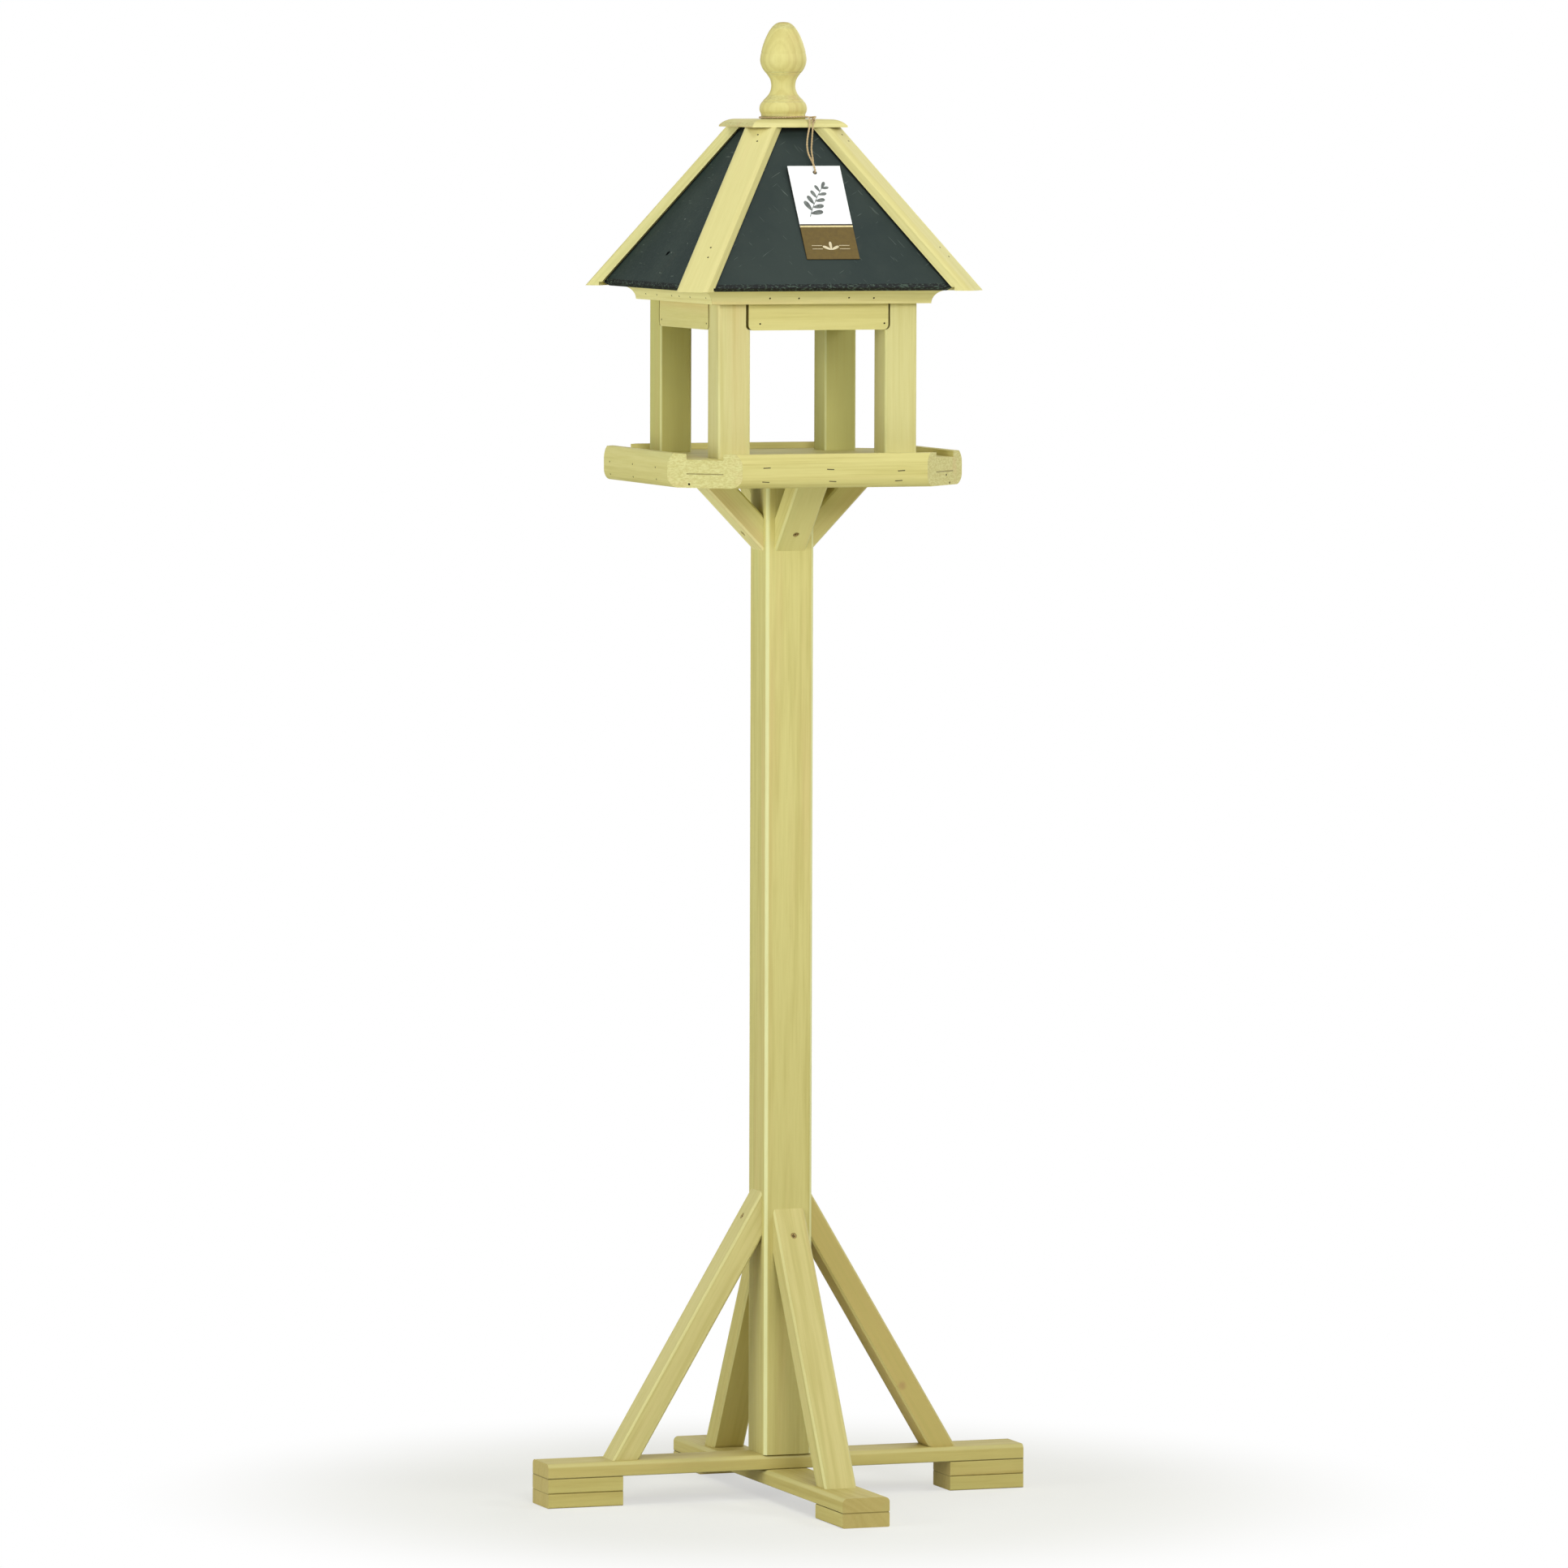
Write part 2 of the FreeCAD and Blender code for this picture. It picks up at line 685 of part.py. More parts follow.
def hip_sketch(body, section):
    """A section square to the hip line, whose origin is on that line half way up the roof."""
    sketch = attach(body, "YZ_Plane")
    spot = "vector(0; hip_middle_z; hip_middle)"
    place = f"placement({spot}; rotation(vector(1; 0; 0); hip_angle))"
    sketch.setExpression("AttachmentOffset", bound(place))
    draw(sketch, section)
    return sketch


def trim_to(body, left, right, low, high):
    """Keeps what lies inside a rectangle of the XZ plane."""
    kept = rectangle(left, right, low, high)
    outer = rectangle(f"{left}-trim_spare", f"{right}+trim_spare",
                      f"{low}-trim_spare", f"{high}+trim_spare")
    pocket(body, outline_on(body, "XZ_Plane", [outer, kept]), both=True)


def add_hip(name, side):
    """A batten over one hip, notched over the cornice's corner, and the rafter under it.

    Both are modelled towards +X and turned to the corner."""
    turn = f"placement(vector(0; 0; 0); rotation(vector(0; 0; 1); {90 * side - 135}))"
    batten = new_body(f"hip_batten_{name}", turn)
    half = "batten_width/2"
    wide_curve = "(batten_wide_round^2+batten_wide_fall^2)/(2*batten_wide_fall)"
    slim_curve = "(batten_slim_round^2+batten_slim_fall^2)/(2*batten_slim_fall)"
    section = [
        (f"-{half}", "-batten_thick"),
        (half, "-batten_thick"),
        (half, "-batten_slim_fall"),
        (f"{half}-batten_slim_round", "0", slim_curve, ROUND),
        (f"batten_wide_round-{half}", "0"),
        (f"-{half}", "-batten_wide_fall", wide_curve, ROUND),
    ]
    pad(batten, hip_sketch(batten, section), "hip_stock", both=True)
    trim_to(batten, "0", "hip_half*2", "eave_z-eave_drop", "cap_z")
    seat = rectangle("0", "lip_half*sqrt(2)+joint_clear", "eave_z-stock_spare", "eave_z+joint_clear")
    pocket(batten, outline_on(batten, "XZ_Plane", [seat]), both=True)
    rafter = new_body(f"hip_rafter_{name}", turn)
    half = "rafter_width/2"
    low = "-(rafter_top+rafter_deep)"
    shoulder = f"-(under_fall+fall_across*{half})"
    section = [
        (f"-{half}", low),
        (half, low),
        (half, shoulder),
        ("rafter_flat", "-rafter_top"),
        ("-rafter_flat", "-rafter_top"),
        (f"-{half}", shoulder),
    ]
    pad(rafter, hip_sketch(rafter, section), "hip_stock", both=True)
    trim_to(rafter, "king_side/2+joint_clear", "rafter_out", "eave_z", "cap_z")


def add_king_block():
    """The square block in the middle, turned to face the rafters, bored for the finial's dowel."""
    body = new_body("king_block", "placement(vector(0; 0; 0); rotation(vector(0; 0; 1); 45))")
    half = "king_side/2"
    plan = rectangle(mirrored(half), half, mirrored(half), half)
    pad(body, outline_on(body, "XY_Plane", [plan], "cap_z-king_high"), "king_high")
    turned(body, dowel_outline("hole_clear"), cut=True)


def dowel_outline(grow):
    """The finial's dowel, or its bore where grow is a clearance."""
    low = f"finial_z+dowel_in_finial-dowel_length-{grow}"
    high = f"finial_z+dowel_in_finial+{grow}"
    return rectangle("0", f"dowel_radius+{grow}", low, high)


def add_cap():
    """The square plate over the roof's top, rounded over on all four sides."""
    body = new_body("cap_plate")
    half, flat, top, low = "cap_side/2", "(cap_side/2-cap_round)", "finial_z", "finial_z-cap_fall"
    curve = "(cap_round^2+cap_fall^2)/(2*cap_fall)"
    profile = [
        (f"-{half}", "cap_z"),
        (half, "cap_z"),
        (half, low),
        (flat, top, curve, ROUND),
        (f"-{flat}", top),
        (f"-{half}", low, curve, ROUND),
    ]
    pad(body, outline_on(body, "YZ_Plane", [profile]), "cap_side", both=True)
    right = [
        (half, low, curve, HOLLOW),
        (f"{half}+cap_fall", low),
        (f"{half}+cap_fall", f"{top}+cap_fall"),
        (flat, f"{top}+cap_fall"),
        (flat, top),
    ]
    left = [
        (f"-{flat}", top, curve, HOLLOW),
        (f"-{flat}", f"{top}+cap_fall"),
        (f"-{half}-cap_fall", f"{top}+cap_fall"),
        (f"-{half}-cap_fall", low),
        (f"-{half}", low),
    ]
    pocket(body, outline_on(body, "XZ_Plane", [right, left]), both=True)
    turned(body, dowel_outline("hole_clear"), cut=True)


def add_finial():
    """The turned finial: disc, bead, neck, belly and dome, with lines cut where the curves meet."""
    body = new_body("finial")
    height = "finial_z+"
    top_curve = "(dome_radius^2+(finial_high-dome)^2)/(2*(finial_high-dome))"
    profile = [
        ("0", "finial_z"),
        ("disc_radius", "finial_z"),
        ("disc_radius", height + "disc_high"),
        ("bead_top_radius", height + "bead_top", "bead_curve", ROUND),
        ("ledge_radius", height + "ledge"),
        ("neck_top_radius", height + "neck_top", "neck_curve", HOLLOW),
        ("belly_low_radius", height + "belly_low"),
        ("belly_top_radius", height + "belly_top", "belly_curve", ROUND),
        ("dome_radius", height + "dome", "shoulder_curve", ROUND),
        ("0", height + "finial_high", top_curve, ROUND),
    ]
    turned(body, profile)
    for place in ("ledge", "belly_low", "belly_top"):
        radius, level = place + "_radius", height + place
        line = [
            (f"{radius}-turned_line", level),
            (f"{radius}+turned_line", f"{level}-turned_line"),
            (f"{radius}+turned_line", f"{level}+turned_line"),
        ]
        turned(body, line, cut=True)
    turned(body, dowel_outline("hole_clear"), cut=True)


for side, name in enumerate(SIDES):
    add_tray_side(name, side)
    add_header_rail(name, side)
    add_cornice(name, side)
    add_slate(name, side)
for side, name in enumerate(CORNERS):
    add_corner_post(name, side)
    add_hip(name, side)
add_king_block()
add_cap()
add_finial()
turned(new_body("finial_dowel"), dowel_outline("0"))

add_screws("brace_screws", "screw_length", [
    (LOWER_SPOTS, LOWER_SCREW_LEAN, 2, False),
    (LOWER_SPOTS_ALONG, LOWER_SCREW_LEAN, 2, True),
    (UPPER_SPOTS, UPPER_SCREW_LEAN, 4, False),
])
add_screws("long_screws", "long_screw_length", [
    (POST_FOOT_SPOTS, HEAD_DOWN, 2, False),
    (POST_HEAD_SPOTS, HEAD_UP, 2, False),
    (CORNER_SPOTS, HEAD_DOWN, 4, False),
])
for label, across in (("foot_screws_across", True), ("foot_screws_along", False)):
    length, spots = FOOT_SCREWS[across]
    add_screws(label, length, [(spots, HEAD_DOWN, 2, False)])


# ---------------------------------------------------------------- hang tag and its twine

def add_tag():
    """The card tag, on the front slate at its lower edge and lifted at its hole by the twine behind it."""
    lean = "(roof_pitch*1deg+asin(tag_lift/tag_length))"
    along = "(tag_foot-eave_drop/sin(roof_pitch))"
    y = f"{along}*cos(roof_pitch)-joint_clear*sin(roof_pitch)-slate_half"
    z = f"eave_z+{along}*sin(roof_pitch)+joint_clear*cos(roof_pitch)"
    place = f"placement(vector(tag_aside; {y}; {z}); rotation(vector(1; 0; 0); {lean}))"
    body = new_body("hang_tag", place)
    card = rectangle("-tag_width/2", "tag_width/2", "0", "tag_length")
    sketch = outline_on(body, "XY_Plane", [card])
    spot = ("0", "tag_length-tag_hole_in")
    at = V(number(spot[0]), number(spot[1]), 0)
    ring_edge = sketch.addGeometry(Part.Circle(at, V(0, 0, 1), number("tag_hole")))
    bindings = (
        (("DistanceX", -1, 1, ring_edge, 3, at.x), spot[0]),
        (("DistanceY", -1, 1, ring_edge, 3, at.y), spot[1]),
        (("Radius", ring_edge, number("tag_hole")), "tag_hole"),
    )
    for constraint, text in bindings:
        row = sketch.addConstraint(Sketcher.Constraint(*constraint))
        sketch.setExpression(f"Constraints[{row}]", bound(text))
    pad(body, sketch, "tag_thick")


TWINE_RADIUS = 1.0
# the share of the shorter run that each bend takes up
TWINE_FIT = 0.45
KNOT_PLACE = V(14.5, -49.8, 1401.0)
# From the knot back round the finial's disc, over the cap's front edge, down and through the tag's hole
# from the front, and up behind the tag to the knot again.
TWINE_ROUTE = [
    (15.8, -47.1, 1401.6),
    (20.5, -38.0, 1404.3),
    (26.0, -24.5, 1404.4),
    (27.5, -8.0, 1403.8),
    (22.5, 10.5, 1403.6),
    (8.5, 23.8, 1403.6),
    (-10.5, 23.0, 1403.6),
    (-23.5, 9.8, 1403.6),
    (-24.5, -8.0, 1403.6),
    (-13.5, -22.3, 1403.6),
    (2.5, -28.5, 1404.2),
    (10.5, -38.5, 1405.0),
    (10.5, -49.5, 1404.2),
    (8.2, -57.5, 1397.5),
    (5.0, -60.3, 1387.5),
    (2.6, -63.2, 1377.0),
    (3.0, -66.6, 1367.2),
    (6.0, -70.0, 1360.3),
    (7.3, -72.4, 1355.3),
    (7.5, -75.16, 1351.13),
    (7.5, -74.01, 1348.73),
    (7.5, -71.37, 1348.52),
    (7.5, -68.57, 1352.67),
    (8.9, -64.99, 1360.76),
    (7.6, -62.5, 1371.5),
    (9.4, -60.0, 1382.5),
    (10.9, -57.6, 1392.0),
    (13.55, -51.7, 1398.9),
]


def twine_wire(points):
    """Straight runs joined by arcs, each as large as its two runs allow."""
    spots = [V(*point) for point in points]
    edges, radii, start = [], [], spots[0]
    for before, corner, after in zip(spots, spots[1:], spots[2:]):
        back, ahead = before - corner, after - corner
        run = min(back.Length, ahead.Length)
        half_turn = (math.pi - back.getAngle(ahead)) / 2
        back.normalize()
        ahead.normalize()
        radius = TWINE_FIT * run / math.tan(half_turn)
        radii.append(radius)
        enter, leave = corner + back * TWINE_FIT * run, corner + ahead * TWINE_FIT * run
        middle = (back + ahead).normalize()
        crown = corner + middle * (radius / math.cos(half_turn) - radius)
        edges.append(Part.LineSegment(start, enter).toShape())
        edges.append(Part.Arc(enter, crown, leave).toShape())
        start = leave
    edges.append(Part.LineSegment(start, spots[-1]).toShape())
    return Part.Wire(edges), radii


def add_twine():
    """The jute twine as one plain tube."""
    wire, radii = twine_wire(TWINE_ROUTE)
    heading = V(*TWINE_ROUTE[1]) - V(*TWINE_ROUTE[0])
    mouth = Part.Wire(Part.Circle(V(*TWINE_ROUTE[0]), heading, TWINE_RADIUS).toShape())
    tube = wire.makePipeShell([mouth], True, True)
    made = doc.addObject("Part::Feature", "tag_twine")
    made.Label = "tag_twine"
    made.Shape = tube
    made.Placement = FreeCAD.Placement()
    due = wire.Length * math.pi * TWINE_RADIUS ** 2
    print(f"twine length {wire.Length:.1f}, volume {tube.Volume:.1f} of {due:.1f}")
    print("twine radii " + " ".join(f"{radius:.1f}" for radius in radii))


def add_knot():
    """The knot that both ends of the twine run into, in front of the cap's rounded edge."""
    knot = doc.addObject("Part::Sphere", "twine_knot")
    knot.Label = "twine_knot"
    knot.setExpression("Radius", bound("knot_radius"))
    knot.Placement = FreeCAD.Placement(KNOT_PLACE, FreeCAD.Rotation())


add_tag()
add_twine()
add_knot()


# ---------------------------------------------------------------- check and write

doc.recompute()
KINDS = ("PartDesign::Body", "Part::Feature", "Part::Sphere")
pieces = [item for item in doc.Objects if item.TypeId in KINDS]
for item in doc.Objects:
    if "Invalid" in item.State or "Error" in item.State:
        raise RuntimeError(f"{item.Label} failed: {item.State}")
for piece in pieces:
    if piece.Shape.isNull() or not piece.Shape.isValid() or not piece.Shape.Solids:
        raise RuntimeError(f"{piece.Label} has no valid solid")
os.makedirs("parts", exist_ok=True)
for piece in pieces:
    piece.Shape.exportStep(f"parts/{piece.Label}.step")
print(f"{len(pieces)} pieces written")
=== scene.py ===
import itertools
import math
import random

import bmesh
import bpy
from mathutils import Matrix, Vector, noise
from mathutils.bvhtree import BVHTree


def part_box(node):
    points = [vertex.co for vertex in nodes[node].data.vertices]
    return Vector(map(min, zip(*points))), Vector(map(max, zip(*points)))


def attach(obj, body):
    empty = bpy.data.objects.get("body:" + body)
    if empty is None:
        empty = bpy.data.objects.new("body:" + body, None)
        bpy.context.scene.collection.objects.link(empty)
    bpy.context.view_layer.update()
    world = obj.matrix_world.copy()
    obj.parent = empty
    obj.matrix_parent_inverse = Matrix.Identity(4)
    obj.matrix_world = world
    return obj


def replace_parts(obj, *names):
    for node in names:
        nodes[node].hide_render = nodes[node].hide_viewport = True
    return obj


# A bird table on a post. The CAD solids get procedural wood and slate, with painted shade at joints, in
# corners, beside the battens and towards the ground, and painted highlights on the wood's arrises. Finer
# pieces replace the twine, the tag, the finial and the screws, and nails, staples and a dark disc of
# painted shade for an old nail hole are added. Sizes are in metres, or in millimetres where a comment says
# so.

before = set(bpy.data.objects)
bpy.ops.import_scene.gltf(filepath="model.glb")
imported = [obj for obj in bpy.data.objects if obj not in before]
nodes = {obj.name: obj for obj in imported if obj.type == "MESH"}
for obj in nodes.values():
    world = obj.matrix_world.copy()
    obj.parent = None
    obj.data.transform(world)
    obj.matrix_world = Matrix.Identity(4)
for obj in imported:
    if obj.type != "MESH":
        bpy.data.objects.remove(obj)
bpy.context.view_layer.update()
random.seed(7)
MM = 0.001

X_AXIS, Y_AXIS, Z_AXIS = (1, 0, 0), (0, 1, 0), (0, 0, 1)
UP = Vector(Z_AXIS)
# the way out from the post on each side and at each corner
OUTWARD = {"front": Vector((0, -1, 0)), "right": Vector((1, 0, 0)), "back": Vector((0, 1, 0)),
           "left": Vector((-1, 0, 0))}
CORNERS = {f"{end}_{side}": (OUTWARD[end] + OUTWARD[side]).normalized()
           for end, side in (("front", "left"), ("front", "right"), ("back", "right"), ("back", "left"))}


def link(name, data):
    """A new object in the scene."""
    made = bpy.data.objects.new(name, data)
    bpy.context.scene.collection.objects.link(made)
    return made


# ------------------------ shader helpers

def srgb(red, green, blue):
    """A colour of 0 to 255 parts as linear light."""
    linear = []
    for part in (red, green, blue):
        share = part / 255
        linear.append(share / 12.92 if share <= 0.04045 else ((share + 0.055) / 1.055) ** 2.4)
    return (*linear, 1.0)


class Graph:
    """Makes nodes in one tree, with their inputs given as values or as other nodes' outputs."""

    def __init__(self, tree):
        self.tree = tree

    def add(self, kind, inputs=None, **settings):
        """A node, with its settings by name and its inputs by name or number."""
        node = self.tree.nodes.new(kind)
        for name, value in settings.items():
            setattr(node, name, value)
        for key, value in (inputs or {}).items():
            if isinstance(value, bpy.types.NodeSocket):
                self.tree.links.new(value, node.inputs[key])
            else:
                node.inputs[key].default_value = value
        return node

    def spot(self):
        """The place on the object, which is the place in the world at rest."""
        return self.add("ShaderNodeTexCoord").outputs["Object"]

    def math(self, operation, first, second=0.0):
        return self.add("ShaderNodeMath", {0: first, 1: second}, operation=operation).outputs[0]

    def vector(self, operation, first, second=(0, 0, 0), output="Vector"):
        node = self.add("ShaderNodeVectorMath", {0: first, 1: second}, operation=operation)
        return node.outputs[output]

    def scaled(self, vector, factor):
        node = self.add("ShaderNodeVectorMath", {0: vector, "Scale": factor}, operation="SCALE")
        return node.outputs["Vector"]

    def dot(self, first, second):
        return self.vector("DOT_PRODUCT", first, second, "Value")

    def length(self, vector):
        return self.vector("LENGTH", vector, output="Value")

    def height(self, vector):
        return self.add("ShaderNodeSeparateXYZ", {"Vector": vector}).outputs["Z"]

    def noise(self, vector, scale, detail=3.0, roughness=0.55):
        inputs = {"Vector": vector, "Scale": scale, "Detail": detail, "Roughness": roughness}
        return self.add("ShaderNodeTexNoise", inputs).outputs["Fac"]

    def ramp(self, value, low, high, bottom=0.0, top=1.0):
        """A smooth step from bottom to top as the value goes from low to high."""
        inputs = {"Value": value, "From Min": low, "From Max": high, "To Min": bottom, "To Max": top}
        return self.add("ShaderNodeMapRange", inputs, interpolation_type="SMOOTHSTEP").outputs[0]

    def mix(self, share, first, second):
        """A share of the second colour laid over the first."""
        return self.add("ShaderNodeMix", {0: share, 6: first, 7: second}, data_type="RGBA").outputs[2]

    def openness(self, distance, samples=8):
        """How open the surface is to its surroundings, from 0 in a close corner to 1."""
        node = self.add("ShaderNodeAmbientOcclusion", {"Distance": distance}, samples=samples)
        return node.outputs["AO"]

    def bump(self, strength, distance, height):
        inputs = {"Strength": strength, "Distance": distance, "Height": height}
        return self.add("ShaderNodeBump", inputs).outputs[0]

    def finish(self, inputs):
        """The shader and the output that end a material."""
        surface = self.add("ShaderNodeBsdfPrincipled", inputs)
        self.add("ShaderNodeOutputMaterial", {"Surface": surface.outputs[0]})


def plain(name):
    """An empty material and the graph to fill it."""
    material = bpy.data.materials.new(name)
    material.use_nodes = True
    material.node_tree.nodes.clear()
    return material, Graph(material.node_tree)


# ------------------------ wood

WARM_TINT, GREEN_TINT = srgb(214, 178, 126), srgb(192, 196, 128)
END_GRAIN = srgb(186, 162, 104)
SAWN_LIGHT, SAWN_DARK, SAWN_WARM = srgb(211, 206, 145), srgb(192, 182, 117), srgb(208, 176, 128)
GROUND_SHADE_TINT, JOINT_SHADE_TINT, KNOT_TINT = srgb(150, 136, 72), srgb(112, 98, 48), srgb(172, 136, 92)
ARRIS_HIGHLIGHT_TINT, CORNER_SHADE_TINT = srgb(228, 229, 176), srgb(134, 117, 50)
# where the painted shade towards the ground ends, how far a joint's dark line of painted shade and a knot
# reach, and how close pieces must be for the painted shade between them
GROUND_SHADE_LOW, GROUND_SHADE_HIGH = 0.15, 0.9
SEAM_CORE, SEAM_REACH = 0.35 * MM, 0.9 * MM
KNOT_CORE, KNOT_REACH = 3 * MM, 8.5 * MM
CORNER_SHADE_REACH = 5 * MM
# how far the growth lines' centre lies beside the piece
PITH_REACH = 0.13
WOOD_INPUTS = {"Axis": "Vector", "Side": "Vector", "Seed": "Float", "Early": "Color", "Late": "Color",
               "Contrast": "Float", "Edge": "Float", "Knot": "Vector", "Seam": "Float"}
WOOD_OUTPUTS = {"Colour": "Color", "Roughness": "Float", "Normal": "Vector"}


def wood_group():
    """Treated softwood cut along Axis: growth lines, fibres, warm and green tints, end grain, a knot, with
    painted shade towards the ground, at joints and in corners, and painted highlights on the arrises.
    """
    tree = bpy.data.node_groups.new("softwood", "ShaderNodeTree")
    for way, sockets in (("INPUT", WOOD_INPUTS), ("OUTPUT", WOOD_OUTPUTS)):
        for name, kind in sockets.items():
            tree.interface.new_socket(name, in_out=way, socket_type="NodeSocket" + kind)
    g = Graph(tree)
    given = g.add("NodeGroupInput").outputs
    axis, side, seed = given["Axis"], given["Side"], given["Seed"]
    spot = g.spot()
    normal = g.add("ShaderNodeNewGeometry").outputs["Normal"]
    shift = g.add("ShaderNodeCombineXYZ", {
        "X": g.math("MULTIPLY", seed, 1.37), "Y": g.math("MULTIPLY", seed, 2.11),
        "Z": g.math("MULTIPLY", seed, 0.73)}).outputs[0]
    along = g.dot(spot, axis)
    run = g.scaled(axis, along)
    across = g.vector("SUBTRACT", spot, run)
    stretched = g.vector("ADD", g.vector("ADD", across, g.scaled(run, 0.05)), shift)
    wander = g.noise(stretched, 11.0, 2.0)
    # growth lines of uneven width round a pith that lies beside the piece
    pith = g.vector("ADD", across, g.scaled(g.vector("NORMALIZE", shift), PITH_REACH))
    distance = g.math("ADD", g.length(pith), g.math("MULTIPLY", wander, 0.030))
    line = g.add("ShaderNodeCombineXYZ", {
        "X": distance, "Y": g.math("MULTIPLY", along, 0.02), "Z": seed}).outputs[0]
    rings = g.ramp(g.noise(line, 250.0, 2.0), 0.44, 0.66)
    fibre = g.noise(g.vector("ADD", across, g.scaled(run, 0.015)), 1100.0, 3.0, 0.7)
    streak = g.noise(stretched, 320.0, 4.0, 0.7)
    patch = g.noise(stretched, 16.0, 3.0)
    tint = g.noise(g.vector("ADD", stretched, (3.1, 1.7, 5.3)), 26.0, 3.0)
    end_way = g.math("ABSOLUTE", g.dot(normal, axis))
    end_grain = g.ramp(end_way, 0.8, 0.93)
    shade = g.math("MULTIPLY", rings, g.ramp(patch, 0.3, 0.7, 0.25, 0.75))
    for part, low, high, share in ((streak, 0.35, 0.75, 0.34), (fibre, 0.3, 0.8, 0.22),
                                   (patch, 0.3, 0.8, 0.30)):
        shade = g.math("ADD", shade, g.ramp(part, low, high, 0.0, share))
    shade = g.math("MULTIPLY", shade, given["Contrast"])
    colour = g.mix(g.math("MINIMUM", shade, 1.0), given["Early"], given["Late"])
    colour = g.mix(g.ramp(tint, 0.54, 0.76, 0.0, 0.34), colour, WARM_TINT)
    colour = g.mix(g.ramp(tint, 0.26, 0.46, 0.30, 0.0), colour, GREEN_TINT)
    colour = g.mix(g.math("MULTIPLY", end_grain, 0.45), colour, END_GRAIN)
    # a cut across the corner is rough sawn
    mitre = g.math("MULTIPLY", g.ramp(end_way, 0.55, 0.65), g.ramp(end_way, 0.85, 0.75))
    saw = g.noise(g.vector("MULTIPLY", spot, (260.0, 260.0, 900.0)), 1.0, 3.0, 0.7)
    sawn = g.mix(g.ramp(saw, 0.38, 0.62), SAWN_LIGHT, SAWN_DARK)
    sawn = g.mix(g.ramp(tint, 0.5, 0.7, 0.0, 0.5), sawn, SAWN_WARM)
    colour = g.mix(g.math("MULTIPLY", mitre, 0.85), colour, sawn)
    # painted shade: the wood is a little darker towards the ground
    level = g.height(spot)
    colour = g.mix(g.ramp(level, GROUND_SHADE_LOW, GROUND_SHADE_HIGH, 0.22, 0.0), colour, GROUND_SHADE_TINT)
    # painted shade: the dark line of a joint with the board above or below
    off = g.math("ABSOLUTE", g.math("SUBTRACT", level, given["Seam"]))
    colour = g.mix(g.ramp(off, SEAM_CORE, SEAM_REACH, 0.7, 0.0), colour, JOINT_SHADE_TINT)
    # a knot of uneven outline
    off = g.length(g.vector("SUBTRACT", spot, given["Knot"]))
    off = g.math("ADD", off, g.math("MULTIPLY", g.noise(spot, 240.0, 2.0), 4 * MM))
    colour = g.mix(g.ramp(off, KNOT_CORE, KNOT_REACH, 0.6, 0.0), colour, KNOT_TINT)
    # an eased arris faces none of the three ways that the sawn faces do
    facing = end_way
    for way in (side, g.vector("CROSS_PRODUCT", axis, side)):
        facing = g.math("MAXIMUM", facing, g.math("ABSOLUTE", g.dot(normal, way)))
    arris = g.math("MAXIMUM", g.math("SUBTRACT", g.ramp(facing, 0.985, 0.93), mitre), 0.0)
    # a painted highlight on the eased arris, uneven along the streaks
    arris_highlight = g.math("MULTIPLY", arris, given["Edge"])
    arris_highlight = g.math("MULTIPLY", arris_highlight, g.ramp(streak, 0.25, 0.6, 0.7, 1.0))
    colour = g.mix(arris_highlight, colour, ARRIS_HIGHLIGHT_TINT)
    # painted shade where pieces meet and in close corners
    colour = g.mix(g.ramp(g.openness(CORNER_SHADE_REACH), 0.30, 0.62, 0.5, 0.0), colour, CORNER_SHADE_TINT)
    relief = g.math("ADD", g.math("MULTIPLY", fibre, 0.6), g.math("MULTIPLY", rings, 0.2))
    g.add("NodeGroupOutput", {"Colour": colour, "Roughness": g.ramp(streak, 0.2, 0.8, 0.48, 0.64),
                              "Normal": g.bump(0.14, 0.35 * MM, relief)})
    return tree


WOOD = wood_group()
WOOD_GLOSS = 0.25
wood_numbers = itertools.count(1)
# a level and a place that no piece reaches, for wood without a seam or a knot
NO_SEAM = -9.0
NO_KNOT = (0, 0, -9)


def wood(axis, side, early, late, contrast=0.5, edge=0.0, knot=NO_KNOT, seam=NO_SEAM):
    """A softwood with its grain along axis and a face towards side: no two pieces share their grain."""
    # edge sets how strong the painted highlight on the arrises is
    number = next(wood_numbers)
    material, g = plain(f"wood_{number}")
    seed = number * 0.618 % 5 + 0.4
    given = (axis, side, seed, early, late, contrast, edge, knot, seam)
    looks = g.add("ShaderNodeGroup", dict(zip(WOOD_INPUTS, given)), node_tree=WOOD)
    g.finish({"Base Color": looks.outputs["Colour"], "Roughness": looks.outputs["Roughness"],
              "Normal": looks.outputs["Normal"], "Specular IOR Level": WOOD_GLOSS})
    return material


# ------------------------ slate and other materials

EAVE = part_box("roof_slate_front")[0][2]
# the band of the slates' foot that is chipped, above the eaves
CHIPS_LOW, CHIPS_HIGH = 5.2 * MM, 6.2 * MM


